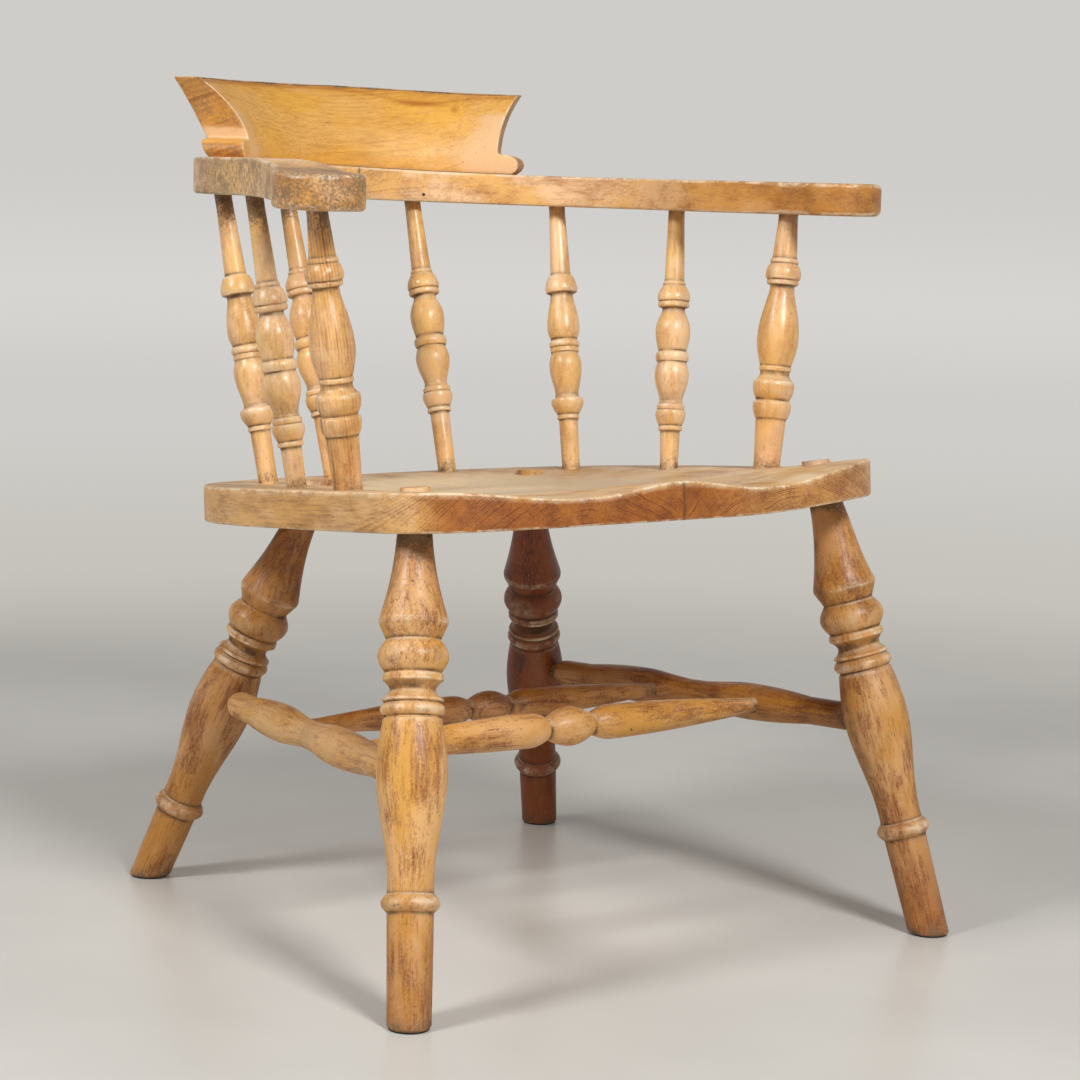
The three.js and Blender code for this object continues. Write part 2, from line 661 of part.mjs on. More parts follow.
// Arm: half of the bow, its forward run and the hand grip, butted against its twin at the back
function armShape() {
  const shape = new THREE.Shape();
  const joint = FIT / 2;
  const jointY = Math.sqrt(BOW_INSIDE ** 2 - joint ** 2);
  const jointAngle = (radius) => Math.acos(joint / radius);
  const inward = (share) => THREE.MathUtils.lerp(BOW_INSIDE, GRIP_X - GRIP_RADIUS, share);
  const [leaveShare, meetShare] = innerEdgeShares;
  shape.moveTo(joint, jointY);
  shape.absarc(0, 0, BOW_INSIDE, jointAngle(BOW_INSIDE), 0, true);
  shape.bezierCurveTo(
    BOW_INSIDE,
    GRIP_Y * leaveShare,
    inward(innerWaistShare),
    GRIP_Y * meetShare,
    GRIP_X + GRIP_RADIUS * Math.cos(GRIP_INNER_TURN),
    GRIP_Y + GRIP_RADIUS * Math.sin(GRIP_INNER_TURN),
  );
  shape.absarc(GRIP_X, GRIP_Y, GRIP_RADIUS, GRIP_INNER_TURN, GRIP_OUTER_TURN + 2 * Math.PI, false);
  shape.quadraticCurveTo(
    LEDGE_X + 2 * LEDGE_STEP,
    LEDGE_Y - LEDGE_SWEEP,
    LEDGE_X + LEDGE_STEP,
    LEDGE_Y - LEDGE_STEP,
  );
  shape.lineTo(LEDGE_X, LEDGE_Y);
  shape.quadraticCurveTo(BOW_OUTSIDE, LEDGE_Y / 2, BOW_OUTSIDE, 0);
  shape.absarc(0, 0, BOW_OUTSIDE, 0, jointAngle(BOW_OUTSIDE), false);
  return shape;
}

function armSolid(side) {
  const geometry = new THREE.ExtrudeGeometry(armShape(), {
    depth: ARM_THICKNESS - 2 * ARM_EDGE_ROUND,
    bevelThickness: ARM_EDGE_ROUND,
    bevelSize: ARM_EDGE_ROUND,
    bevelOffset: -ARM_EDGE_ROUND,
    bevelSegments: 1,
    curveSegments: ARM_CURVE_STEPS,
  });
  geometry.translate(0, 0, ARM_EDGE_ROUND);
  const solid = solidOf(geometry);
  return side > 0 ? solid : solid.mirror([1, 0, 0]);
}

// Dowels, half in the bow and half in the crest rail, square to the joint between them
const dowelRadius = (CREST_FOOT_INSIDE + BOW_OUTSIDE) / 2;
const DOWELS = HANDS.flatMap(({ hand, side }) => [
  { name: `crest_dowel_inner_${hand}`, angle: Math.PI / 2 - side * INNER_DOWEL_ANGLE },
  { name: `crest_dowel_outer_${hand}`, angle: Math.PI / 2 - side * OUTER_DOWEL_ANGLE },
]);
const dowelPlacement = ({ angle }) => new THREE.Matrix4().setPosition(onBow(angle, dowelRadius, ARM_TOP));
const dowel = (clearance) =>
  rod(
    DOWEL_DIAMETER + 2 * clearance,
    -DOWEL_DEPTH - clearance,
    FIT + DOWEL_DEPTH + clearance,
    DOWEL_FACETS,
  );
const dowelHoles = DOWELS.map((place) => solidOf(dowel(FIT), dowelPlacement(place)));

const armFrame = new THREE.Matrix4().setPosition(0, 0, ARM_UNDERSIDE);
for (const { hand, side } of HANDS) {
  const toLocal = armFrame.clone().invert();
  const cutters = [...sockets[hand].arm, ...dowelHoles].map((c) => c.transform(toLocal.elements));
  addPiece(`arm_${hand}`, without(armSolid(side), cutters), armFrame, bowWood());
}

// Crest rail: a block bent round the bow. Its front face is hollow and falls back to the top,
// its ends are cut square to the bow, waisted over a rounded lobe at each foot.
function crestRows() {
  const lobeSpan = CREST_LOBE_ANGLE - CREST_NECK_ANGLE;
  const lobe = crestLobeShares.map(([height, share]) => [height, CREST_NECK_ANGLE + share * lobeSpan]);
  const first = crestRowShares[0];
  const upper = crestRowShares.map((height) => {
    const rise = (height - first) / (1 - first);
    return [height, CREST_NECK_ANGLE + (CREST_TOP_ANGLE - CREST_NECK_ANGLE) * rise ** 2];
  });
  return [...lobe, ...upper];
}

function crestSolid() {
  const rows = crestRows();
  const last = rows.length - 1;
  const block = new THREE.BoxGeometry(1, 1, last, CREST_STEPS, 1, last);
  block.translate(0, 0, last / 2);
  const place = block.attributes.position;
  for (let i = 0; i < place.count; i += 1) {
    const [share, halfAngle] = rows[Math.round(place.getZ(i))];
    const inside = CREST_FOOT_INSIDE + CREST_FLARE_INSIDE * share ** CREST_HOLLOW_POWER;
    const outside = BOW_OUTSIDE + CREST_FLARE_OUTSIDE * share;
    const radius = place.getY(i) < 0 ? inside : outside;
    const angle = Math.PI / 2 - 2 * place.getX(i) * halfAngle;
    place.setXYZ(i, radius * Math.cos(angle), radius * Math.sin(angle), share * CREST_HEIGHT);
  }
  return solidOf(block);
}

const crestFrame = new THREE.Matrix4().setPosition(0, 0, CREST_BOTTOM);
const crestToLocal = crestFrame.clone().invert();
const crestHoles = dowelHoles.map((cutter) => cutter.transform(crestToLocal.elements));
addPiece('crest_rail', without(crestSolid(), crestHoles), crestFrame, crestWood());
for (const place of DOWELS) {
  addPiece(place.name, solidOf(dowel(0)), dowelPlacement(place), turnedWood());
}

// The chair stands with the middle of its floor plan on the origin
const box = new THREE.Box3().setFromObject(chair, true);
chair.position.y = -(box.min.y + box.max.y) / 2;
const part = new THREE.Group();
part.add(chair);

export default part;
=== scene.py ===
"""Captains chair with a low bow: a saddled seat of two boards, turned legs, posts and spindles,
two sawn arms butted at the back, and a flared crest rail. Lengths are in metres.

Plan places are measured from the centre of the bow's arc. The sitter faces -Y and has +X on
the left hand. Every finished piece stands for the frame's piece of the same name.
"""

import math

import bpy
import numpy as np
from mathutils import Matrix, Vector


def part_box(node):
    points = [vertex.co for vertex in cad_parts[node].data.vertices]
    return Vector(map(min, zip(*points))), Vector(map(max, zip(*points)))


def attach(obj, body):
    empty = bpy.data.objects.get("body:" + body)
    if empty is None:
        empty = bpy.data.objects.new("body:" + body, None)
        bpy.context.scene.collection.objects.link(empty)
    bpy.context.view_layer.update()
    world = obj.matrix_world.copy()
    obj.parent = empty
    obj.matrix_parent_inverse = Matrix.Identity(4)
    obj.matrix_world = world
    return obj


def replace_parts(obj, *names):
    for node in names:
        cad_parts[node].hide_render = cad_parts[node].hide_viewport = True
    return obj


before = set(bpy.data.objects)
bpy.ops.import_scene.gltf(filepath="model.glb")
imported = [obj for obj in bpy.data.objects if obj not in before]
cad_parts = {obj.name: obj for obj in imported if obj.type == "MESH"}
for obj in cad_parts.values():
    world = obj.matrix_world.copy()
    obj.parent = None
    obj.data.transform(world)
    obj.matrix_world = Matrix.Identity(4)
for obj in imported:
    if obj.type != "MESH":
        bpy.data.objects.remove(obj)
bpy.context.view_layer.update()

bl_info = {
    "name": "Captains chair",
    "version": (1, 0, 0),
    "blender": (4, 5, 0),
    "location": "View3D > Sidebar > Chair",
    "description": "Low-backed bow chair with a saddled seat, turned legs and a flared crest rail",
    "category": "Object",
}

TAU = 2 * math.pi

# Seat
SEAT_TILT = math.radians(5)
SEAT_FRONT_HEIGHT = 0.441
SEAT_THICKNESS = 0.0345
SEAT_HALF_WIDTH = 0.270
SEAT_BROADEST_Y = -0.130
SEAT_FRONT_DEPTH = 0.203
SEAT_REAR_DEPTH = 0.326
SEAT_FRONT_SQUARENESS = 5.4
SEAT_REAR_SQUARENESS = 3.25
SEAT_FRONT_Y = SEAT_BROADEST_Y - SEAT_FRONT_DEPTH
THIGH_HOLLOW_REACH = 0.250
SEAT_WARP = 0.0115
JOINT_GAP = 0.00015  # half of the gap between two boards that are butted together
JOINT_EDGE = 0.0004  # rounding of the arrises along such a joint
SEAT_FRONT_RUN = 0.235  # length of the outline, from the joint, that is meshed as the front edge
SEAT_REAR_RUN = 0.215
BOWL_FLAT_SHARE = 0.42  # of the outline's reach, where the bowl starts to fade
BOWL_EDGE_SHARE = 0.9
HOLLOW_BALANCE = 0.85  # exponent that moves a hollow's deepest place towards the middle
POMMEL_LENGTH_SHARE = 0.85  # of the front depth

# Legs: end, foot on the floor, place where the axis comes through the seat, length of the neck,
# height of the tenon's end over the plane of the seat's rim
LEGS = (
    ("front", (0.29191, -0.35694), (0.22491, -0.24794), 0.076, 0.003),
    ("rear", (0.23901, 0.20694), (0.12501, 0.07994), 0.082, 0.0005),
)
LEG_TURNING = 0.246
LEG_TENON_RADIUS = 0.013
TENON_EASE = 0.0007  # at the rim of a leg tenon's end
SHOULDER_EASE = 0.0006  # at the inner rim of a leg's shoulder
FOOT_EASE = 0.0014  # height of the eased rim at a leg's foot
# A near-black disc under each foot is painted shadow in the gap under the foot; the wood stops just above it.
SHADOW_DISC_THICKNESS = 0.0015
SHADOW_DISC_GAP = 0.0002
SHADOW_DISC_INSET = 0.0015
SHOULDER_GAP = 0.0003

# Bow
ARM_UNDERSIDE = 0.671
ARM_THICKNESS = 0.031
ARM_TOP = ARM_UNDERSIDE + ARM_THICKNESS
ARM_EDGE_LENGTH = 0.68  # about, from the joint to the tip
BOW_RADIUS = 0.243
BOW_INSIDE = 0.216
BOW_OUTSIDE = 0.270
GRIP = (0.291, -0.192)
GRIP_RADIUS = 0.040
LEDGE = (0.298, -0.128)
LEDGE_STEP = 0.005
LEDGE_SWEEP = 0.020
BOW_TOP_LIFT = 0.0105
BOW_UNDER_LIFT = 0.0075
GRIP_DROOP = 0.0025
CREST_DROOP = 0.004

# Posts and spindles
POST_SEAT = (0.23787, -0.16004)
POST_HEAD = (0.266, -0.147)
SPINDLES = (
    ("front", (0.216, -0.03416), 0, "beaded"),
    ("middle", (0.17901, 0.0819), math.radians(36), "belled"),
    ("back", (0.06804, 0.14514), math.radians(72), "beaded"),
)
SPINDLE_TURNING = 0.16008
SPINDLE_RING_DROP = 0.14697
POST_FOOT_RADIUS = 0.013
POST_HEAD_RADIUS = 0.0098
SPINDLE_FOOT_RADIUS = 0.0092
SPINDLE_HEAD_RADIUS = 0.0085
SEAT_SOCKET_DEPTH = 0.023
ARM_SOCKET_DEPTH = 0.020
STRAIGHT_LEAD = 0.007

# Stretchers
SIDE_FRONT_HEIGHT = 0.199
SIDE_REAR_HEIGHT = 0.184
FRONT_CROSS_PLACE = 0.139
REAR_CROSS_PLACE = 0.188
LEG_CORE = 0.009
STRETCHER_CORE = 0.0045
STRETCHER_LEAD = 0.009
STRETCHER_NOSE = 0.020

NAIL_ANGLE = math.radians(70.8)
NAIL_HEIGHT = 0.6805
NAIL_RADIUS = 0.0016
NAIL_PROUD = 0.0004

# Crest rail
CREST_BOTTOM = ARM_TOP + SHOULDER_GAP
CREST_HEIGHT = 0.088
CREST_END_LENGTH = 0.125  # about, along the outline of an end
CREST_FOOT_INSIDE = 0.232
CREST_FLARE_INSIDE = 0.049
CREST_FLARE_OUTSIDE = 0.038
CREST_HOLLOW_POWER = 2.1
CREST_NECK_ANGLE = math.radians(39)
CREST_TOP_ANGLE = math.radians(42.5)
CREST_LOBE_ANGLE = math.radians(44.3)
KNOT = (0.124, 0.068)  # plan place of the small knot on the inner face
STREAK = (0.088, 0.0730)  # plan place of the long dark streak on the inner face
CREST_PLAN_RADIUS = 0.250  # turns the crest rail's angles into lengths along it

# The bow's centre in the frame's own coordinates
BOW_CENTRE_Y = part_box("arm_left")[1].y - BOW_OUTSIDE

OUTLINE_STEPS = 32  # points of each step of a turned outline

# Turned shapes. Each step runs on from the point before it to (kind, place share, diameter
# share, bulge share), as in the frame: places are shares of the turning's length, diameters of
# its swell.
LEG_START_SHARE = 0.496
LEG_TURNING_SHARES = (
    ("bow", 0, 0.983, -0.085), ("line", 0.012, 0.983), ("line", 0.069, 0.769),
    ("bow", 0.185, 0.777, 0.23), ("line", 0.188, 0.853), ("line", 0.211, 0.863),
    ("line", 0.214, 0.8), ("bow", 0.27, 0.8, -0.15), ("line", 0.272, 0.85), ("line", 0.279, 0.875),
    ("line", 0.285, 0.81), ("line", 0.289, 0.79), ("line", 0.293, 0.85), ("bow", 0.33, 0.84, 0.07),
    ("line", 0.336, 0.765), ("line", 0.343, 0.83), ("rise", 0.52, 1), ("swell", 0.902, 0.648),
    ("line", 0.935, 0.655), ("bow", 1, 0.655, 0.175),
)
LEG_FOOT_SHARE = 0.62
POST_START_SHARE = 0.627
POST_TURNING_SHARES = (
    ("line", 0.194, 0.715), ("line", 0.197, 0.77), ("rise", 0.242, 0.9), ("line", 0.259, 0.885),
    ("line", 0.264, 0.77), ("line", 0.269, 0.79), ("rise", 0.313, 0.965), ("line", 0.329, 0.97),
    ("line", 0.342, 0.93), ("line", 0.346, 0.84), ("bow", 0.38, 0.69, -0.06), ("line", 0.384, 0.75),
    ("line", 0.396, 0.76), ("line", 0.4, 0.71), ("line", 0.405, 0.74), ("rise", 0.508, 0.977),
    ("fall", 0.66, 0.68), ("rise", 0.718, 0.57), ("line", 0.723, 0.74), ("line", 0.736, 0.76),
    ("line", 0.74, 0.7), ("line", 0.744, 0.79), ("line", 0.75, 0.82), ("bow", 0.8, 0.69, 0.06),
    ("line", 0.804, 0.62), ("line", 0.808, 0.67), ("line", 0.82, 0.665), ("line", 0.824, 0.585),
)
POST_TOP_SHARE = 0.458
SPINDLE_FOOT_SHARE = 0.54
SPINDLE_TOP_SHARE = 0.485
SPINDLE_SHARES = {
    "beaded": (
        ("line", -0.476, 0.58), ("line", -0.472, 0.71), ("line", -0.452, 0.72),
        ("line", -0.447, 0.65), ("rise", -0.368, 0.9), ("line", -0.35, 0.88),
        ("line", -0.345, 0.76), ("line", -0.34, 0.82), ("line", -0.314, 0.82),
        ("line", -0.307, 0.72), ("line", -0.285, 0.68), ("fall", -0.23, 0.8),
        ("rise", -0.122, 1.02), ("fall", -0.042, 0.84), ("line", -0.037, 0.93),
        ("bow", 0.017, 0.93, 0.06), ("line", 0.022, 0.82), ("rise", 0.157, 1.03),
        ("fall", 0.24, 0.84), ("rise", 0.298, 0.66), ("line", 0.304, 0.88), ("line", 0.313, 0.93),
        ("line", 0.332, 0.93), ("line", 0.338, 0.82), ("line", 0.344, 0.94), ("line", 0.358, 0.97),
        ("fall", 0.434, 0.73), ("line", 0.438, 0.67), ("line", 0.462, 0.66), ("line", 0.468, 0.59),
    ),
    "belled": (
        ("line", -0.479, 0.575), ("line", -0.476, 0.66), ("line", -0.456, 0.67),
        ("line", -0.451, 0.61), ("rise", -0.362, 0.98), ("line", -0.345, 0.95),
        ("line", -0.339, 0.75), ("line", -0.32, 0.7), ("fall", -0.25, 0.81), ("rise", -0.124, 0.98),
        ("fall", -0.044, 0.8), ("line", -0.038, 0.87), ("line", -0.014, 0.87),
        ("line", -0.009, 0.82), ("line", -0.006, 0.88), ("bow", 0.032, 0.87, 0.05),
        ("line", 0.037, 0.78), ("rise", 0.118, 0.98), ("fall", 0.255, 0.82), ("rise", 0.336, 0.69),
        ("line", 0.343, 0.7), ("line", 0.35, 0.94), ("line", 0.368, 0.98), ("fall", 0.456, 0.76),
        ("line", 0.464, 0.62),
    ),
}
STRETCHER_END_SHARE = 0.42
SIDE_STRETCHER_SHARES = (("rise", 0.62, 1), ("swell", 1, 0.73))
CROSS_STRETCHER_SHARES = (
    ("rise", 0.78, 0.89), ("fall", 0.87, 0.62), ("line", 0.877, 0.53), ("rise", 1, 1),
)
# End of the crest rail: (height share, angle share from the neck to the lobe)
CREST_LOBE_SHARES = (
    (0, 0.68), (0.02, 0.8), (0.05, 0.92), (0.09, 0.99), (0.12, 1), (0.16, 0.96), (0.2, 0.84),
    (0.225, 0.66), (0.24, 0.42), (0.245, 0.1), (0.256, 0.01),
)


# Settings

class ChairShape(bpy.types.PropertyGroup):
    leg_swell: bpy.props.FloatProperty(
        name="Leg swell", description="Largest diameter of a leg", default=0.0605, unit="LENGTH")
    post_swell: bpy.props.FloatProperty(
        name="Post swell", description="Largest diameter of an arm post", default=0.0415,
        unit="LENGTH")
    spindle_swell: bpy.props.FloatProperty(
        name="Spindle swell", description="Largest diameter of a spindle", default=0.034,
        unit="LENGTH")
    side_stretcher_swell: bpy.props.FloatProperty(
        name="Side stretcher swell", description="Largest diameter of a side stretcher",
        default=0.036, unit="LENGTH")
    front_cross_swell: bpy.props.FloatProperty(
        name="Front cross stretcher swell", description="Largest diameter of the front one",
        default=0.037, unit="LENGTH")
    rear_cross_swell: bpy.props.FloatProperty(
        name="Rear cross stretcher swell", description="Largest diameter of the rear one",
        default=0.032, unit="LENGTH")
    bowl_depth: bpy.props.FloatProperty(
        name="Bowl depth", description="Depth of the hollow under the sitter", default=0.011,
        unit="LENGTH")
    thigh_hollow: bpy.props.FloatProperty(
        name="Thigh hollow", description="Depth of the two hollows at the front edge",
        default=0.0105, unit="LENGTH")
    seat_edge: bpy.props.FloatProperty(
        name="Seat edge", description="Rounding of the seat's arris", default=0.0022,
        unit="LENGTH")
    arm_edge: bpy.props.FloatProperty(
        name="Arm edge", description="Rounding of the arms' arris", default=0.0028,
        unit="LENGTH")
    crest_edge: bpy.props.FloatProperty(
        name="Crest edge", description="Rounding of the crest rail's arris", default=0.0018,
        unit="LENGTH")
    turning_wear: bpy.props.FloatProperty(
        name="Turning wear", description="How far the turned arrises are worn round",
        default=0.00022, unit="LENGTH")
    row_step: bpy.props.FloatProperty(
        name="Row step", description="Distance between the rows of a turned surface",
        default=0.0006, unit="LENGTH")
    board_cell: bpy.props.FloatProperty(
        name="Board cell", description="Mesh size on the sawn boards", default=0.0026,
        unit="LENGTH")
    leg_segments: bpy.props.IntProperty(
        name="Leg segments", description="Faces round a leg", default=56, min=8)
    spindle_segments: bpy.props.IntProperty(
        name="Spindle segments", description="Faces round a spindle or stretcher", default=40,
        min=8)


def colour_setting(name, description, rgb):
    return bpy.props.FloatVectorProperty(
        name=name, description=description, default=rgb, size=3, min=0, max=1, subtype="COLOR")


class ChairFinish(bpy.types.PropertyGroup):
    leg_light: colour_setting("Leg wood", "Pale wood of legs and stretchers", (0.68, 0.335, 0.062))
    leg_dark: colour_setting("Leg grain", "Grain of legs and stretchers", (0.28, 0.085, 0.016))
    leg_blush: colour_setting(
        "Leg blush", "Pinkish patches of legs and stretchers", (0.77, 0.43, 0.17))
    leg_pale: colour_setting(
        "Pale leg wood", "Rubbed pale patches of legs and stretchers", (0.72, 0.43, 0.185))
    spindle_light: colour_setting("Spindle wood", "Pale wood of posts and spindles", (0.87, 0.53, 0.19))
    spindle_dark: colour_setting("Spindle grain", "Grain of posts and spindles", (0.44, 0.20, 0.06))
    spindle_blush: colour_setting("Spindle blush", "Pinkish patches of the spindles", (0.90, 0.61, 0.38))
    seat_light: colour_setting("Seat wood", "Pale wood of the seat", (0.70, 0.38, 0.118))
    seat_dark: colour_setting("Seat grain", "Grain of the seat", (0.30, 0.115, 0.030))
    # Greyed top of the seat, raised paler: weathering and painted sheen together.
    seat_washed_and_sheen: colour_setting("Washed seat", "Greyed top of the seat", (0.88, 0.69, 0.44))
    bow_light: colour_setting("Bow wood", "Pale wood of the arms", (0.82, 0.46, 0.15))
    bow_dark: colour_setting("Bow grain", "Grain of the arms", (0.37, 0.14, 0.034))
    crest_light: colour_setting("Crest wood", "Pale wood of the crest rail", (0.80, 0.415, 0.066))
    crest_dark: colour_setting("Crest grain", "Grain of the crest rail", (0.46, 0.18, 0.030))
    crest_blush: colour_setting("Crest blush", "Pinkish sawn ends of the crest rail", (0.80, 0.50, 0.26))
    dirt: colour_setting("Dirt", "Dirt in grooves and joints", (0.040, 0.020, 0.010))
    dust: colour_setting("Dust", "Pale dust on upward creases", (0.66, 0.52, 0.36))
    # Pale colour along the arrises, where the edge mark lays it: partly bare worn wood and partly painted
    # highlight on the rounded edges.
    worn: colour_setting("Worn wood", "Bare wood on worn edges", (0.84, 0.66, 0.45))
    weathered: colour_setting("Weathered wood", "Greyed outer faces", (0.80, 0.51, 0.245))
    # Near-black discs under the feet: painted shadow.
    pad: colour_setting("Foot pad", "Thin dark pads under the feet", (0.022, 0.020, 0.018))
    iron: colour_setting("Iron", "The small old nail", (0.03, 0.024, 0.02))


class StudioSettings(bpy.types.PropertyGroup):
    floor: colour_setting("Floor", "Studio floor", (0.66, 0.642, 0.60))
    # Emitted tones of the far floor and backdrop: painted studio light, with a painted pale band of light.
    backdrop_lit_foot: colour_setting("Backdrop foot", "Backdrop where it leaves the floor", (0.555, 0.537, 0.492))
    backdrop_lit_top: colour_setting("Backdrop top", "Backdrop high up", (0.625, 0.61, 0.585))
    backdrop_light_band: colour_setting("Backdrop glow", "Pale band across the backdrop", (0.675, 0.663, 0.64))
    front_power: bpy.props.FloatProperty(
        name="Front lamp", description="Soft lamp in front of the chair", default=104, unit="POWER")
    side_power: bpy.props.FloatProperty(
        name="Side lamp", description="Soft lamp on the sitter's right", default=66, unit="POWER")
    lamp_size: bpy.props.FloatProperty(
        name="Lamp size", description="Diameter of the soft lamps", default=0.9, unit="LENGTH")
    sky: bpy.props.FloatProperty(
        name="Room light", description="Light from the open room", default=0.16, min=0)
    lens: bpy.props.FloatProperty(
        name="Lens", description="Focal length of the camera on a 36 mm sensor", default=93.98,
        unit="CAMERA")


# Small tools for arrays

def vec(*values):
    return np.array(values, float)


def to_frame(points):
    """Places measured from the bow's centre, moved to the frame's coordinates."""
    return points + vec(0, BOW_CENTRE_Y, 0)


def smoothstep(value, low, high):
    """0 below low, 1 above high, level at both ends: 3tt - 2ttt of the share t between them."""
    t = np.clip((value - low) / (high - low), 0, 1)
    return t * t * (3 - 2 * t)


def bell(distance, width):
    """1 at no distance, then e to the minus square of the distance counted in widths."""
    return np.exp(-(distance / width) ** 2)


def fading(distance, width):
    """1 at no distance, then e to the minus distance counted in widths."""
    return np.exp(-distance / width)


def softened(values, radius):
    """Running mean with bell-shaped weights over the array's first axis, radius in entries."""
    reach = max(1, int(3 * radius))
    weights = np.exp(-0.5 * (np.arange(-reach, reach + 1) / max(radius, 1e-6)) ** 2)
    weights /= weights.sum()
    padded = np.concatenate([np.full(reach, values[0]), values, np.full(reach, values[-1])])
    return np.convolve(padded, weights, "valid")


def resampled(curve, shares):
    """Points of a polyline at shares of its length."""
    along = np.concatenate([[0], np.cumsum(np.linalg.norm(np.diff(curve, axis=0), axis=1))])
    wanted = np.asarray(shares) * along[-1]
    return np.stack([np.interp(wanted, along, curve[:, k]) for k in range(curve.shape[1])], 1)


def arc(centre, radius, start, end, count=200):
    """Points on a circle from one angle to the other."""
    turn = np.linspace(start, end, count)
    return np.stack([centre[0] + radius * np.cos(turn), centre[1] + radius * np.sin(turn)], 1)


def bezier(*points, count=80):
    """Bezier curve of any order: each point weighted by the binomial of its place."""
    t = np.linspace(0, 1, count)[:, None]
    order = len(points) - 1
    return sum(
        math.comb(order, k) * t ** k * (1 - t) ** (order - k) * vec(*point)
        for k, point in enumerate(points))


def joined(*curves):
    """Curves laid end to end, without the repeated points."""
    line = np.concatenate(curves)
    keep = np.linalg.norm(np.diff(line, axis=0), axis=1) > 1e-7
    return line[np.concatenate([[True], keep])]


def seat_warp(points):
    """Lift of the seat's left front corner, where the board has warped: the product of two
    smooth steps, leftwards and forwards."""
    x, y = points[:, 0], points[:, 1]
    return SEAT_WARP * smoothstep(x, 0.06, 0.28) * smoothstep(-y, 0.14, 0.33)


def bow_warp(points, lift, droop):
    """Lift of the bow, which has racked upwards on the sitter's right, and droop of that arm's
    grip: a smooth step across the chair times one along the arm."""
    x, y = points[:, 0], points[:, 1]
    right = 1 - smoothstep(x, -0.25, 0.24)
    back = smoothstep(y, -0.24, -0.02)
    return lift * right * back - droop * (1 - smoothstep(x, -0.25, 0)) * (1 - back)


def ripple(places, seed, waves=5):
    """Uneven but repeatable wave between -1 and 1: a mean of sines of rising pitch."""
    source = np.random.default_rng(seed)
    pitch = source.uniform(0.7, 1.3, waves) * (1.0 + np.arange(waves) * 0.8)
    phase = source.uniform(0, TAU, waves)
    return np.sin(places[..., None] * pitch + phase).mean(-1) * 1.6


# Meshes

def make_mesh(name, points, quads, fans=()):
    """Closed mesh from quads and the triangles of pole fans, turned outwards if its signed
    volume comes out negative."""
    triangles = np.concatenate([quads[:, [0, 1, 2]], quads[:, [0, 2, 3]], *fans])
    a, b, c = (points[triangles[:, k]] for k in range(3))
    if np.einsum("ij,ij->i", a, np.cross(b, c)).sum() < 0:
        quads = quads[:, ::-1]
        fans = [fan[:, ::-1] for fan in fans]
    faces = quads.tolist()
    for fan in fans:
        faces += fan.tolist()
    mesh = bpy.data.meshes.new(name)
    mesh.from_pydata(points.tolist(), [], faces)
    mesh.polygons.foreach_set("use_smooth", np.ones(len(mesh.polygons), bool))
    mesh.update()
    return mesh


def mark(mesh, name, values):
    """Stores a number or a vector per vertex."""
    values = np.asarray(values, np.float32)
    if values.ndim == 1:
        mesh.attributes.new(name, "FLOAT", "POINT").data.foreach_set("value", values)
    else:
        layer = mesh.attributes.new(name, "FLOAT_VECTOR", "POINT")
        layer.data.foreach_set("vector", values.ravel())


def vertex_normals(mesh):
    found = np.empty(len(mesh.vertices) * 3, np.float32)
    mesh.vertex_normals.foreach_get("vector", found)
    return found.reshape(-1, 3)


MARKS = ("timber", "figure", "groove", "dust", "edge", "endgrain", "stain", "weather", "tone")


def add_piece(name, mesh, material):
    """Puts a mesh into the scene as a piece of the chair."""
    piece = bpy.data.objects.new(name, mesh)
    bpy.context.scene.collection.objects.link(piece)
    mesh.materials.append(bpy.data.materials[material])
    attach(piece, "root")
    return piece


def finish_piece(mesh, node, material, marks):
    """Puts the finished mesh into the scene in place of the frame's node. A crease that faces
    up holds pale dust, and one that faces down or sideways holds dirt."""
    up = smoothstep(vertex_normals(mesh)[:, 2], 0.15, 0.65)
    marks["dust"] = marks["groove"] * up
    marks["groove"] = marks["groove"] * (1 - 0.75 * up)
    for name in MARKS:
        mark(mesh, name, marks.get(name, np.zeros(len(mesh.vertices))))
    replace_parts(add_piece(f"{node}_finished", mesh, material), node)


# Turned pieces

BLENDS = {
    "line": lambda t: t,
    "bow": lambda t: t,
    "swell": lambda t: (1 - np.cos(np.pi * t)) / 2,
    "rise": lambda t: np.sin(np.pi * t / 2),
    "fall": lambda t: 1 - np.cos(np.pi * t / 2),
}


def turned_outline(start_place, start_diameter, shapes, length, swell):
    """Places and radii along a turned outline. A line is straight, a bow adds a sine arch, a
    swell runs level at both ends, a rise only at its far end and a fall only at its near end."""
    places = [np.array([start_place])]
    radii = [np.array([start_diameter / 2])]
    for kind, place_share, diameter_share, *bulge in shapes:
        t = np.linspace(0, 1, OUTLINE_STEPS + 1)[1:]
        x0, r0 = places[-1][-1], radii[-1][-1]
        x1, r1 = place_share * length, diameter_share * swell / 2
        arch = np.sin(np.pi * t) * (bulge[0] if bulge else 0) * swell / 2
        places.append(x0 + (x1 - x0) * t)
        radii.append(r0 + (r1 - r0) * BLENDS[kind](t) + arch)
    return np.concatenate(places), np.concatenate(radii)


def even_rows(places, radii, step, wear):
    """The outline at even steps, with its arrises worn round by a running mean."""
    count = int(math.ceil((places[-1] - places[0]) / step)) + 1
    fine = np.linspace(places[0], places[-1], count * 4)
    radius = np.interp(fine, places, radii)
    radius = softened(radius, wear / (fine[1] - fine[0]))
    rows = np.linspace(places[0], places[-1], count)
    return rows, np.interp(rows, fine, radius)


def hollows(rows, radii):
    """How far each row lies under (groove) or over (edge) the outline's own running mean."""
    step = rows[1] - rows[0]
    broad = softened(radii, 0.005 / step)
    fine = softened(radii, 0.0018 / step)
    groove = 0.25 * np.clip((broad - radii) / 0.0022, 0, 1) + np.clip((fine - radii) / 0.0004, 0, 1)
    edge = np.clip((radii - fine) / 0.0004, 0, 1)
    return np.clip(groove, 0, 1), edge


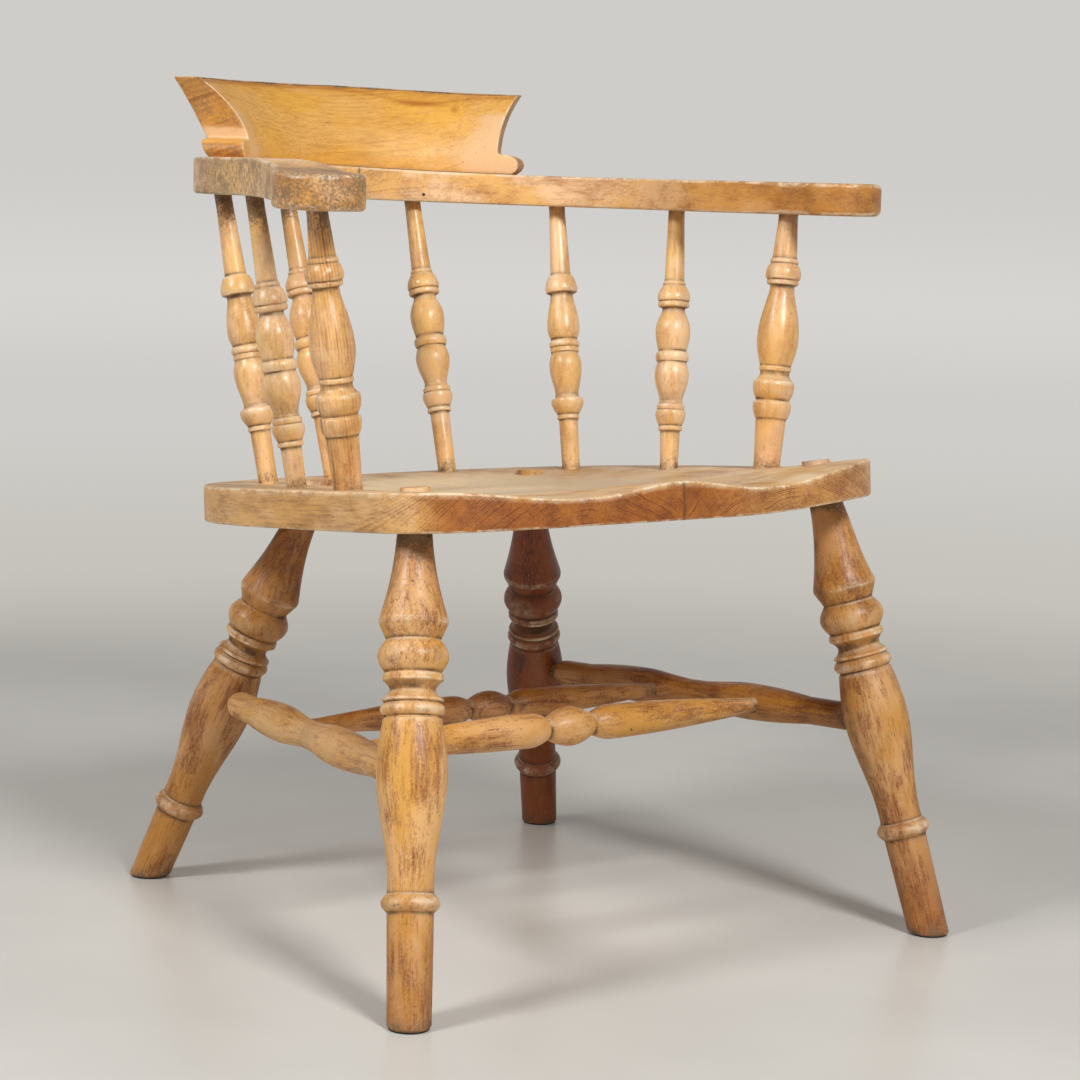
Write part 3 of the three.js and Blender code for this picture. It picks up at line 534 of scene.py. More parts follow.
class Axis:
    """A turned piece's own axis: places run from start towards end, and angles turn about it."""

    def __init__(self, start, end, segments):
        self.start = np.asarray(start, float)
        self.length = np.linalg.norm(np.asarray(end, float) - self.start)
        self.line = (np.asarray(end, float) - self.start) / self.length
        side = np.cross(self.line, vec(0, 1, 0))
        self.side = side / np.linalg.norm(side)
        self.other = np.cross(self.line, self.side)
        self.turn = np.linspace(0, TAU, segments, endpoint=False)
        self.spoke = (np.cos(self.turn)[:, None] * self.side + np.sin(self.turn)[:, None] * self.other)

    def at_plane(self, radius, point, normal):
        """Places along the axis at which a cylinder of that radius meets a plane."""
        offset = (np.asarray(point) - self.start) @ normal - radius * (self.spoke @ normal)
        return offset / (self.line @ normal)

    def surface(self, places, radii):
        """Places and radii per row and spoke, as points: start + place * axis + radius * spoke."""
        return self.start + places[..., None] * self.line + radii[..., None] * self.spoke

    def point(self, place):
        return self.start + place * self.line


def turned_mesh(name, axis, places, radii, lift=None):
    """Rows of rings closed by a pole at each end, and for every vertex its row. lift: how far
    each point is raised."""
    rows, segments = radii.shape
    rings = axis.surface(places, radii).reshape(-1, 3)
    poles = np.stack([axis.point(places[0].mean()), axis.point(places[-1].mean())])
    points = np.concatenate([rings, poles])
    if lift:
        points[:, 2] += lift(points)
    index = np.arange(rows * segments).reshape(rows, segments)
    after = np.roll(index, -1, 1)
    quads = np.stack([index[:-1], after[:-1], after[1:], index[1:]], -1).reshape(-1, 4)
    first, last = rows * segments, rows * segments + 1
    fans = [
        np.stack([after[0], index[0], np.full(segments, first)], 1),
        np.stack([index[-1], after[-1], np.full(segments, last)], 1),
    ]
    mesh = make_mesh(name, to_frame(points), quads, fans)
    row_of = np.concatenate([np.repeat(np.arange(rows), segments), [0, rows - 1]])
    turn_of = np.concatenate([np.tile(axis.turn, rows), [0, 0]])
    return mesh, row_of, turn_of


def turned_marks(places, radii, row_of, turn_of, groove, edge, pith, swing, seed):
    """Timber coordinates of a turned piece: its own axis is the grain, with the pith of the
    tree at a distance to one side, and dirt and wear per row with a slow unevenness."""
    flat_places = np.concatenate([places.ravel(), [places[0].mean(), places[-1].mean()]])
    flat_radii = np.concatenate([radii.ravel(), [0, 0]])
    across = flat_radii * np.cos(turn_of + swing) + pith
    side = flat_radii * np.sin(turn_of + swing)
    timber = np.stack([across, side, flat_places + seed * 1.7], 1)
    uneven = ripple(turn_of * 1.3 + flat_places * 30, seed)
    return {
        "timber": timber,
        "groove": np.clip(groove[row_of] * (0.85 + 0.3 * uneven), 0, 1),
        "edge": edge[row_of] * (0.75 + 0.35 * uneven),
    }


# Sawn pieces

ROUND_TURNS = np.radians([20, 42, 66, 90])
SIDE_ROWS = 7


def patch(front, rear, inner, outer, a, b):
    """Surface spanned between four edges: the two blends of opposite edges added together, less
    the blend of the four corners."""
    a, b = a[:, None, None], b[None, :, None]
    corners = ((1 - a) * (1 - b) * front[0] + a * (1 - b) * front[-1]
               + (1 - a) * b * rear[0] + a * b * rear[-1])
    return ((1 - b) * front[:, None] + b * rear[:, None]
            + (1 - a) * inner[None] + a * outer[None] - corners)


def outward(loop):
    """Outward mitre vector at each point of a closed loop: the two sides' normals added and
    divided by one plus their product."""
    ahead = np.roll(loop, -1, 0) - loop
    ahead /= np.linalg.norm(ahead, axis=1)[:, None]
    normal = np.stack([ahead[:, 1], -ahead[:, 0]], 1)
    area = (loop[:, 0] * np.roll(loop[:, 1], -1) - loop[:, 1] * np.roll(loop[:, 0], -1)).sum()
    normal *= np.sign(area)
    before = np.roll(normal, 1, 0)
    lean = np.clip(1 + (normal * before).sum(1), 0.5, 2)
    return (normal + before) / lean[:, None]


def sawn_mesh(name, edges, shares, rounding, top, bottom, place):
    """Board between two faces over one plan: a patch for each face, joined by a rounded rim.

    edges: front, rear, inner and outer edge of the plan. shares: where they are divided, across
    and along. rounding: radius of the arris at each place of the rim. top and bottom: depth of
    the two faces at a plan place. place: turns plan places and depths into points."""
    across, along = shares
    front, rear = (resampled(edge, across) for edge in edges[:2])
    inner, outer = (resampled(edge, along) for edge in edges[2:])
    na, nb = len(across), len(along)
    loop = np.concatenate([front, outer[1:], rear[::-1][1:], inner[::-1][1:-1]])
    around = len(loop)
    mitre = outward(loop)
    radius = rounding(loop)
    inset = loop - mitre * radius[:, None]
    closed = np.concatenate([inset, inset[:1]])
    plan = patch(
        closed[:na], closed[na + nb - 2:2 * na + nb - 2][::-1],
        closed[2 * na + nb - 3:][::-1], closed[na - 1:na + nb - 1], across, along)
    plan = plan.reshape(-1, 2)
    rings, depths, edge = [], [], []

    def round_rim(turns, face, inwards):
        for turn in turns:
            ring = loop - mitre * (radius * (1 - math.sin(turn)))[:, None]
            rings.append(ring)
            depths.append(face(ring) + inwards * radius * (1 - math.cos(turn)))
            edge.append(math.sin(2 * turn))

    round_rim(ROUND_TURNS, top, 1)
    low = bottom(loop) - radius
    for share in np.arange(1, SIDE_ROWS) / SIDE_ROWS:
        rings.append(loop)
        depths.append(depths[len(ROUND_TURNS) - 1] * (1 - share) + low * share)
        edge.append(0)
    round_rim(ROUND_TURNS[::-1], bottom, -1)
    flat = np.concatenate([plan, plan, *rings])
    depth = np.concatenate([top(plan), bottom(plan), *depths])
    index = np.arange(na * nb).reshape(na, nb)
    upper = np.stack([index[:-1, :-1], index[1:, :-1], index[1:, 1:], index[:-1, 1:]], -1)
    upper = upper.reshape(-1, 4)
    lower = upper[:, ::-1] + na * nb
    rim = np.concatenate([index[:, 0], index[-1, 1:], index[::-1, -1][1:], index[0, ::-1][1:-1]])
    ladder = [rim]
    ladder += [2 * na * nb + k * around + np.arange(around) for k in range(len(rings))]
    ladder.append(rim + na * nb)
    sides = [
        np.stack([low_row, np.roll(low_row, -1), np.roll(high_row, -1), high_row], 1)
        for high_row, low_row in zip(ladder[:-1], ladder[1:])
    ]
    quads = np.concatenate([upper, lower, *sides])
    points = place(flat, depth)
    mesh = make_mesh(name, to_frame(points), quads)
    patch_edge = np.zeros(na * nb)
    patch_edge[rim] = 0.35
    marks = {"edge": np.concatenate([patch_edge, patch_edge, np.repeat(edge, around)])}
    return mesh, flat, depth, marks


def sawn_timber(points, origin, grain, flat):
    """Timber coordinates of a sawn piece: z along the grain, y along the second direction as
    far as it is square to it, x along the third."""
    z = vec(*grain) / np.linalg.norm(grain)
    y = vec(*flat) - (vec(*flat) @ z) * z
    y /= np.linalg.norm(y)
    x = np.cross(y, z)
    return (points - vec(*origin)) @ np.stack([x, y, z], 1), z


def even(length, cell, ends=()):
    """Shares of a length at about even steps, with extra ones close to its start."""
    count = max(2, int(round(length / cell)))
    return np.unique(np.concatenate([np.linspace(0, 1, count + 1), np.array(ends) / length]))


# Shape of the chair

def seat_height(y):
    return SEAT_FRONT_HEIGHT - (y - SEAT_FRONT_Y) * math.tan(SEAT_TILT)


def on_seat(place, side):
    return vec(side * place[0], place[1], seat_height(place[1]))


SEAT_NORMAL = vec(0, math.sin(SEAT_TILT), math.cos(SEAT_TILT))


def seat_place(plan, depth):
    """Seat places: the rim plane tilted about X, depths measured square to it."""
    c, s = math.cos(SEAT_TILT), math.sin(SEAT_TILT)
    return np.stack([
        plan[:, 0],
        plan[:, 1] * c - depth * s,
        -plan[:, 1] * s - depth * c + seat_height(0),
    ], 1)


def seat_outline(t):
    """Two half superellipses that meet where the seat is broadest: each coordinate is the sine
    or cosine raised to two over the squareness."""
    c, s = np.cos(t), np.sin(t)
    power = 2 / np.where(s < 0, SEAT_FRONT_SQUARENESS, SEAT_REAR_SQUARENESS)
    depth = np.where(s < 0, SEAT_FRONT_DEPTH, SEAT_REAR_DEPTH)
    x = np.abs(c) ** power * SEAT_HALF_WIDTH
    y = np.sign(s) * np.abs(s) ** power * depth + SEAT_BROADEST_Y
    return np.stack([x, y], 1)


def saddle_depth(plan, shape):
    """Bowl that fades out towards the outline, blended with two thigh hollows at the front."""
    x, y = np.abs(plan[:, 0]), plan[:, 1]
    behind = np.clip((y - SEAT_BROADEST_Y) / SEAT_REAR_DEPTH, 0, None)
    reach = ((x / SEAT_HALF_WIDTH) ** SEAT_REAR_SQUARENESS
             + behind ** SEAT_REAR_SQUARENESS) ** (1 / SEAT_REAR_SQUARENESS)
    bowl = shape.bowl_depth * (1 - smoothstep(reach, BOWL_FLAT_SHARE, BOWL_EDGE_SHARE))
    across = np.clip(x / THIGH_HOLLOW_REACH, 0, 1) ** HOLLOW_BALANCE
    hollow = shape.thigh_hollow * np.sin(np.pi * across) ** 2
    blend = smoothstep(y, SEAT_FRONT_Y, SEAT_FRONT_Y + SEAT_FRONT_DEPTH * POMMEL_LENGTH_SHARE)
    return hollow * (1 - blend) + bowl * blend


def seat_sockets():
    """Plan places and radii of everything that stands in one half of the seat."""
    tilt = math.cos(SEAT_TILT)
    found = [(seat[0], seat[1] / tilt, LEG_TENON_RADIUS) for _, _, seat, _, _ in LEGS]
    found.append((POST_SEAT[0], POST_SEAT[1] / tilt, POST_FOOT_RADIUS))
    found += [(x, y / tilt, SPINDLE_FOOT_RADIUS) for _, (x, y), _, _ in SPINDLES]
    return found


def build_seat_board(hand, side, shape):
    """One board: front edge, side and rear edge from the superellipse, inner edge on the joint."""
    outline = seat_outline(np.linspace(-np.pi / 2, np.pi / 2, 6001))
    outline = outline[outline[:, 0] > JOINT_GAP]
    outline = np.concatenate([[[JOINT_GAP, outline[0, 1]]], outline, [[JOINT_GAP, outline[-1, 1]]]])
    along = np.concatenate([[0], np.cumsum(np.linalg.norm(np.diff(outline, axis=0), axis=1))])
    first = int(np.searchsorted(along, SEAT_FRONT_RUN))
    last = int(np.searchsorted(along, along[-1] - SEAT_REAR_RUN))
    seam = np.array([outline[0], outline[-1]])
    edges = (outline[:first + 1], outline[last:][::-1], seam, outline[first:last + 1])
    close = (0.0004, 0.001, 0.0018)
    across = even(SEAT_FRONT_RUN, shape.board_cell, close)
    length = along[-1] - SEAT_FRONT_RUN - SEAT_REAR_RUN
    shares = (across, even(length, shape.board_cell))

    def rounding(loop):
        wear = 1 + 0.3 * ripple(loop[:, 0] * 22 + loop[:, 1] * 17, 3)
        return np.where(loop[:, 0] < JOINT_GAP * 2, JOINT_EDGE, shape.seat_edge * wear)

    def top(plan):
        seam_wear = 0.0007 * fading(np.abs(plan[:, 0] - JOINT_GAP), 0.0011)
        return saddle_depth(plan, shape) + seam_wear

    def place(plan, depth):
        points = seat_place(plan, depth)
        points[:, 0] *= side
        points[:, 2] += seat_warp(points)
        return points

    mesh, plan, depth, marks = sawn_mesh(
        f"seat_board_{hand}", edges, shares, rounding, top,
        lambda p: np.full(len(p), SEAT_THICKNESS), place)
    points = place(plan, depth)
    origin = (side * 0.13, 0, 0.25) if side > 0 else (side * 0.10, 0, 0.29)
    timber, grain = sawn_timber(points, origin, (0, 1, -0.087), (0, 0, 1))
    timber[:, 2] += side * 3
    groove = np.zeros(len(points))
    on_top = np.clip(1 - (depth - saddle_depth(plan, shape)) / 0.004, 0, 1)
    for x, y, radius in seat_sockets():
        away = np.hypot(plan[:, 0] - x, plan[:, 1] - y) - radius
        groove = np.maximum(groove, fading(np.abs(away), 0.0022) * on_top)
    seam = bell(plan[:, 0] - JOINT_GAP, 0.0014)
    marks["groove"] = np.clip(groove + 0.9 * seam, 0, 1)
    marks["timber"] = timber
    normal = vertex_normals(mesh)
    marks["endgrain"] = np.clip(np.abs(normal @ grain) * 1.25 - 0.2, 0, 1)
    centre = np.hypot(plan[:, 0] / 0.19, (plan[:, 1] + 0.06) / 0.21)
    front = smoothstep(-normal[:, 1], 0.45, 0.9) * (1 - on_top)
    marks["tone"] = front if side < 0 else front * (1 - 0.55 * smoothstep(plan[:, 0], 0.02, 0.12))
    # The top is greyed most in the middle of the bowl: partly weathering and partly painted sheen.
    marks["weather"] = on_top * (0.5 + 0.5 * (1 - smoothstep(centre, 0.4, 1.05)))
    marks["stain"] = on_top * 0.22 * smoothstep(plan[:, 1], 0.04, 0.19) + 0.2 * front
    # The pale line along the top arris is partly wear and partly painted highlight.
    arris = bell(depth - saddle_depth(plan, shape), 0.0022) * (1 - np.abs(normal[:, 2]))
    marks["edge"] = np.clip(marks["edge"] + 1.3 * arris, 0, 1)
    finish_piece(mesh, f"seat_board_{hand}", "seat_wood", marks)


# How dark each leg is, how much darker at its foot and its neck, and how rubbed it is. The sitter's left rear
# leg is darkened all over by painted shade, for it stands in the shadow of the seat.
LEG_LOOKS = {
    ("front", -1): (0.0, 0.56, 0.60, 0.14),
    ("front", 1): (0.26, 0.50, 0.22, 0.04),
    ("rear", -1): (0.36, 0.10, 0.20, 0.16),
    ("rear", 1): (1.0, 0.0, 0.0, 0.0),
}


def build_leg(hand, side, spec, shape, order):
    """A leg: raked tenon through the seat, neck cut to the seat's underside, turned body, and a
    foot cut level with the floor."""
    end, foot_place, seat_place_xy, neck, proud = spec
    seat = on_seat(seat_place_xy, side)
    foot = vec(side * foot_place[0], foot_place[1], 0)
    axis = Axis(seat, foot, shape.leg_segments)
    crossing = SEAT_THICKNESS / abs(axis.line @ SEAT_NORMAL)
    edge_place = crossing + neck
    swell = shape.leg_swell
    places, radii = turned_outline(
        -neck, LEG_START_SHARE * swell, LEG_TURNING_SHARES, LEG_TURNING, swell)
    places = np.append(places + edge_place, axis.length)
    radii = np.append(radii, LEG_FOOT_SHARE * swell / 2)
    rows, radius = even_rows(places, radii, shape.row_step, shape.turning_wear)
    groove, edge = hollows(rows, radius)
    groove = np.clip(groove + 0.9 * bell(rows - rows[0], 0.009), 0, 1)
    groove = np.clip(groove + 0.5 * fading(rows[-1] - rows, 0.006), 0, 1)

    under = seat - SEAT_NORMAL * (SEAT_THICKNESS + SHOULDER_GAP)
    over = seat + SEAT_NORMAL * proud
    up = vec(0, 0, 1)
    floor = up * (SHADOW_DISC_THICKNESS + SHADOW_DISC_GAP)
    r = LEG_TENON_RADIUS
    spokes = np.ones(shape.leg_segments)
    start_cut = axis.at_plane(radius[0], under, SEAT_NORMAL)
    end_cut = axis.at_plane(radius[-1], floor + up * FOOT_EASE, up)
    near = 1 - smoothstep(rows, rows[0], rows[0] + 0.03)
    far = smoothstep(rows, rows[-1] - 0.05, rows[-1])
    body = rows[:, None] + near[:, None] * (start_cut - rows[0]) + far[:, None] * (end_cut - rows[-1])
    caps = [
        (axis.at_plane(0.5 * r, over, SEAT_NORMAL), 0.5 * r),
        (axis.at_plane(r - TENON_EASE, over, SEAT_NORMAL), r - TENON_EASE),
        (axis.at_plane(r, over - SEAT_NORMAL * TENON_EASE, SEAT_NORMAL), r),
        (axis.at_plane(r, under, SEAT_NORMAL), r),
        (axis.at_plane(radius[0] - SHOULDER_EASE, under, SEAT_NORMAL), radius[0] - SHOULDER_EASE),
    ]
    last = radius[-1]
    feet = [
        (axis.at_plane(last - 0.001, floor, up), last - 0.001),
        (axis.at_plane(0.6 * last, floor, up), 0.6 * last),
    ]
    all_places = np.concatenate([[c[0] for c in caps], body, [c[0] for c in feet]])
    all_radii = np.concatenate([
        np.outer([c[1] for c in caps], spokes),
        np.outer(radius, spokes),
        np.outer([c[1] for c in feet], spokes),
    ])
    groove = np.concatenate([[0, 0, 0.4, 1, 1], groove, [0.5, 0.4]])
    edge = np.concatenate([[0, 0.5, 0.5, 0, 0], edge, [0.3, 0]])
    mesh, row_of, turn_of = turned_mesh(
        f"leg_{end}_{hand}", axis, all_places, all_radii,
        lambda p: seat_warp(p) * smoothstep(p[:, 2], under[2] - 0.06, under[2] - 0.012))
    marks = turned_marks(
        all_places, all_radii, row_of, turn_of, groove, edge,
        0.055 + 0.012 * (order % 3), 1.1 * order, order)
    ends = np.concatenate([np.ones(4), np.zeros(len(radius) + 1), np.ones(2)])
    marks["endgrain"] = ends[row_of]
    row_place = np.concatenate([np.zeros(len(caps)), rows, np.full(2, rows[-1])])
    from_seat = row_place[row_of] - rows[0]
    from_foot = rows[-1] - row_place[row_of]
    in_body = (row_of >= len(caps) - 1).astype(float)
    # At the sitter's left rear leg this tone is painted shade over the whole leg.
    tone, foot_share, neck_share, rubbed = LEG_LOOKS[end, side]
    below = np.clip(from_seat, 0, None)
    reach = 0.009 * (1 + 0.2 * np.sin(turn_of + order))
    neck_tone = neck_share * bell(below, 0.055)
    foot_tone = foot_share * (1 - smoothstep(from_foot, 0.0, 0.16))
    marks["tone"] = np.clip(tone + foot_tone + neck_tone, 0, 1) * in_body
    marks["stain"] = np.clip(
        0.95 * bell(below, reach) + 0.9 * neck_share * fading(below, 0.05)
        + 0.5 * fading(from_foot, 0.010) + 0.16, 0, 1) * in_body
    marks["weather"] = (rubbed + 0.3 * foot_tone) * in_body
    finish_piece(mesh, f"leg_{end}_{hand}", "leg_wood", marks)
    # Under the foot, a near-black disc of painted shadow.
    build_button(
        f"foot_shadow_disc_{end}_{hand}", foot + up * SHADOW_DISC_THICKNESS, foot, last - SHADOW_DISC_INSET,
        "foot_shadow_paint", shape)


def build_button(name, start, end, radius, material, shape):
    """Low round disc from start to end, its two rims eased: the near-black disc of painted shadow under a
    foot, or a nail's head.
    """
    axis = Axis(start, end, shape.spindle_segments)
    ease = 0.2 * axis.length
    places = vec(0, 0, ease, axis.length - ease, axis.length, axis.length)
    radii = vec(0.6 * radius, radius - ease, radius, radius, radius - ease, 0.6 * radius)
    spokes = np.ones(shape.spindle_segments)
    mesh, _, _ = turned_mesh(name, axis, np.outer(places, spokes), np.outer(radii, spokes))
    add_piece(name, mesh, material)


def build_standing(node, foot, head, places, radii, foot_size, top_size, shape, order, stain):
    """Post or spindle: straight tenons in the seat and the arm, turned between them."""
    axis = Axis(foot, head, shape.spindle_segments)
    span = axis.length
    lead = STRAIGHT_LEAD
    is_post = node.startswith("arm_post")
    places = np.concatenate([[-SEAT_SOCKET_DEPTH, lead], places, [span - lead, span + ARM_SOCKET_DEPTH]])
    radii = np.concatenate([[foot_size / 2] * 2, radii, [top_size / 2] * 2])
    rows, radius = even_rows(places, radii, shape.row_step, shape.turning_wear)
    groove, edge = hollows(rows, radius)
    groove = np.clip(
        groove + 0.8 * fading(np.abs(rows - 0.001), 0.003)
        + 0.9 * fading(np.abs(span - rows), 0.006), 0, 1)
    spokes = np.ones(shape.spindle_segments)
    all_places = np.outer(rows, spokes)
    all_radii = np.outer(radius, spokes)
    mesh, row_of, turn_of = turned_mesh(node, axis, all_places, all_radii)
    marks = turned_marks(
        all_places, all_radii, row_of, turn_of, groove, edge,
        0.05 + 0.01 * (order % 4), 0.6 if is_post else 0.9 * order, order)
    height = rows[row_of]
    far_hand = node.endswith("_left")
    # Tone differs from spindle to spindle; the far hand's spindles take little of it, which paints them paler
    # for the sheen on them.
    marks["tone"] = np.full(len(row_of), (0.17 if is_post else 0.08 if far_hand else 0.25) * (order % 4))
    marks["figure"] = np.full(len(row_of), 0.0 if far_hand or not is_post else 2.6)
    reach = 0.023 * (1 + 0.15 * np.sin(turn_of + order))
    marks["stain"] = np.clip(
        stain * bell(np.clip(span - height, 0, None), reach)
        + 0.45 * bell(np.clip(height, 0, None), 0.014) + 0.1, 0, 1)
    finish_piece(mesh, node, "spindle_wood", marks)


def leg_axis_point(spec, side, height):
    """Place on a leg's axis at a height over the floor."""
    _, foot_place, seat_xy, _, _ = spec
    seat = on_seat(seat_xy, side)
    foot = vec(side * foot_place[0], foot_place[1], 0)
    return foot + (seat - foot) * height / seat[2]


def build_stretcher(node, start, end, core, straight, shares, swell, shape, order, stain, blunt=0):
    """Stretcher: half outline mirrored about the middle, straight ends in the pieces beside it.
    blunt: diameter share that its far end reaches, as a round nose, close to the leg."""
    axis = Axis(start, end, shape.spindle_segments)
    half = axis.length / 2 - core
    end_size = STRETCHER_END_SHARE * swell
    places, radii = turned_outline(0, end_size, shares, half - straight, swell)
    places = np.concatenate([[core], places + core + straight])
    radii = np.concatenate([[end_size / 2], radii])
    places = np.concatenate([places, axis.length - places[::-1][1:]])
    radii = np.concatenate([radii, radii[::-1][1:]])
    rows, radius = even_rows(places, radii, shape.row_step * 2.5, shape.turning_wear * 4)
    out = np.clip((axis.length - core - straight + STRETCHER_LEAD - rows) / STRETCHER_NOSE, 0, 1)
    radius = np.maximum(radius, blunt * swell / 2 * np.sqrt(1 - (1 - out) ** 2))
    groove, edge = hollows(rows, radius)
    inside = straight - STRETCHER_LEAD
    ends = np.minimum(np.abs(rows - core - inside), np.abs(axis.length - core - inside - rows))
    groove = np.clip(groove + 0.8 * fading(ends, 0.006), 0, 1)
    spokes = np.ones(shape.spindle_segments)
    all_places, all_radii = np.outer(rows, spokes), np.outer(radius, spokes)
    mesh, row_of, turn_of = turned_mesh(node, axis, all_places, all_radii)
    marks = turned_marks(
        all_places, all_radii, row_of, turn_of, groove, edge, 0.05, 1.3 * order, order)
    marks["tone"] = np.full(len(row_of), stain)
    marks["figure"] = np.full(len(row_of), 0.5)
    joint = np.append(ends, [0, 0])[np.minimum(row_of, len(ends))]
    marks["stain"] = stain * 0.35 + 0.6 * bell(joint, 0.012)
    marks["weather"] = np.full(len(row_of), 0.5 * (1 - smoothstep(stain, 0.0, 0.5)))
    finish_piece(mesh, node, "leg_wood", marks)


def arm_edges():
    """Edges of an arm's plan: the joint at the back, the round of the grip, and the inner and
    outer edges from the joint to the grip."""
    inner_turn, outer_turn = math.radians(171), math.radians(391)
    split_in, split_out = math.radians(228), math.radians(312)

    def back(radius):
        return arc((0, 0), radius, math.acos(JOINT_GAP / radius), 0)

    def on_grip(turn):
        return GRIP[0] + GRIP_RADIUS * math.cos(turn), GRIP[1] + GRIP_RADIUS * math.sin(turn)

    waist = BOW_INSIDE + (GRIP[0] - GRIP_RADIUS - BOW_INSIDE) * 0.57
    inner = joined(
        back(BOW_INSIDE),
        bezier((BOW_INSIDE, 0), (BOW_INSIDE, GRIP[1] * 0.36), (waist, GRIP[1] * 0.62),
               on_grip(inner_turn)),
        arc(GRIP, GRIP_RADIUS, inner_turn, split_in, 60))
    ledge_lip = (LEDGE[0] + LEDGE_STEP, LEDGE[1] - LEDGE_STEP)
    outer = joined(
        back(BOW_OUTSIDE),
        bezier((BOW_OUTSIDE, 0), (BOW_OUTSIDE, LEDGE[1] / 2), LEDGE),
        bezier(LEDGE, ledge_lip, count=6),
        bezier(ledge_lip, (LEDGE[0] + 2 * LEDGE_STEP, LEDGE[1] - LEDGE_SWEEP), on_grip(outer_turn)),
        arc(GRIP, GRIP_RADIUS, outer_turn, split_out, 60))
    joint = np.array([inner[0], outer[0]])
    tip = arc(GRIP, GRIP_RADIUS, split_in, split_out, 60)
    return joint, tip, inner, outer


def build_arm(hand, side, shape):
    """Arm: the plan's two faces and a rounded rim, flat on both faces."""
    joint, tip, inner, outer = arm_edges()
    shares = (
        even(BOW_OUTSIDE - BOW_INSIDE, shape.board_cell),
        even(ARM_EDGE_LENGTH, shape.board_cell, (0.0008, 0.002)))

    def rounding(loop):
        wear = 1 + 0.25 * ripple(loop[:, 0] * 19 + loop[:, 1] * 23, 7)
        grip = 1 - smoothstep(np.hypot(loop[:, 0] - GRIP[0], loop[:, 1] - GRIP[1]), 0.04, 0.08)
        return np.where(loop[:, 0] < JOINT_GAP * 2, JOINT_EDGE, shape.arm_edge * wear * (1 + 0.7 * grip))

    def place(plan, depth):
        points = np.stack([side * plan[:, 0], plan[:, 1], ARM_TOP - depth], 1)
        share = depth / ARM_THICKNESS
        points[:, 2] += (1 - share) * bow_warp(points, BOW_TOP_LIFT, GRIP_DROOP)
        points[:, 2] += share * bow_warp(points, BOW_UNDER_LIFT, GRIP_DROOP)
        return points

    mesh, plan, depth, marks = sawn_mesh(
        f"arm_{hand}", (joint, tip, inner, outer), shares, rounding,
        lambda p: np.zeros(len(p)), lambda p: np.full(len(p), ARM_THICKNESS), place)
    points = place(plan, depth)
    grain = (side * 0.556, -0.831, 0)
    timber, line = sawn_timber(points, (side * 0.2, 0.0, 0.56), grain, (0.25 * side, 0, 1))
    timber[:, 2] += 5 + side
    marks["timber"] = timber
    normal = vertex_normals(mesh)
    marks["endgrain"] = 0.5 * np.clip(np.abs(normal @ line) * 1.3 - 0.35, 0, 1)
    outward_face = smoothstep(normal[:, 0] * side * np.clip(points[:, 0] * side / 0.25, 0, 1), 0.25, 0.7)
    strength = 1.0 if side < 0 else 0.7
    grip = 1 - smoothstep(np.hypot(plan[:, 0] - GRIP[0], plan[:, 1] - GRIP[1]), 0.030, 0.100)
    marks["weather"] = (
        outward_face * strength * (0.72 + 0.28 * smoothstep(-points[:, 1], -0.03, 0.09))
        * smoothstep(-points[:, 1], -0.16, -0.02) * (1 - 0.75 * grip))
    socket = np.zeros(len(points))
    heads = [(*POST_HEAD, POST_HEAD_RADIUS)]
    heads += [
        (BOW_RADIUS * math.cos(a), BOW_RADIUS * math.sin(a), SPINDLE_HEAD_RADIUS)
        for _, _, a, _ in SPINDLES]
    under = np.clip((depth - ARM_THICKNESS + 0.003) / 0.003, 0, 1)
    for x, y, radius in heads:
        away = np.abs(np.hypot(plan[:, 0] - x, plan[:, 1] - y) - radius)
        socket = np.maximum(socket, fading(away, 0.003) * under)
    seam = fading(np.abs(plan[:, 0] - JOINT_GAP), 0.0012)
    marks["groove"] = np.clip(socket + seam, 0, 1)
    along = smoothstep(-points[:, 1], -0.16, 0.14)
    marks["tone"] = 0.55 * grip if side < 0 else 0.66 * along + 0.34 * grip
    marks["figure"] = 0.1 * (1 - grip)
    mottled = 0.62 if side < 0 else 0.3
    rear = outward_face * strength * (1 - smoothstep(-points[:, 1], -0.06, 0.06))
    marks["stain"] = np.clip(mottled * grip * (1 - under) + 0.5 * rear + 0.4 * under, 0, 1)
    finish_piece(mesh, f"arm_{hand}", "bow_wood", marks)


def crest_half_angle(height):
    """Half angle of the crest rail at a height share: the lobe's outline up to the neck, then a
    hollow flare that grows with the square of the height."""
    lobe = np.array(CREST_LOBE_SHARES)
    neck = lobe[-1, 0]
    reach = CREST_LOBE_ANGLE - CREST_NECK_ANGLE
    lobed = CREST_NECK_ANGLE + np.interp(height, lobe[:, 0], lobe[:, 1]) * reach
    rise = np.clip((height - neck) / (1 - neck), 0, 1)
    flared = CREST_NECK_ANGLE + (CREST_TOP_ANGLE - CREST_NECK_ANGLE) * rise ** 2
    return np.where(height < neck, lobed, flared)


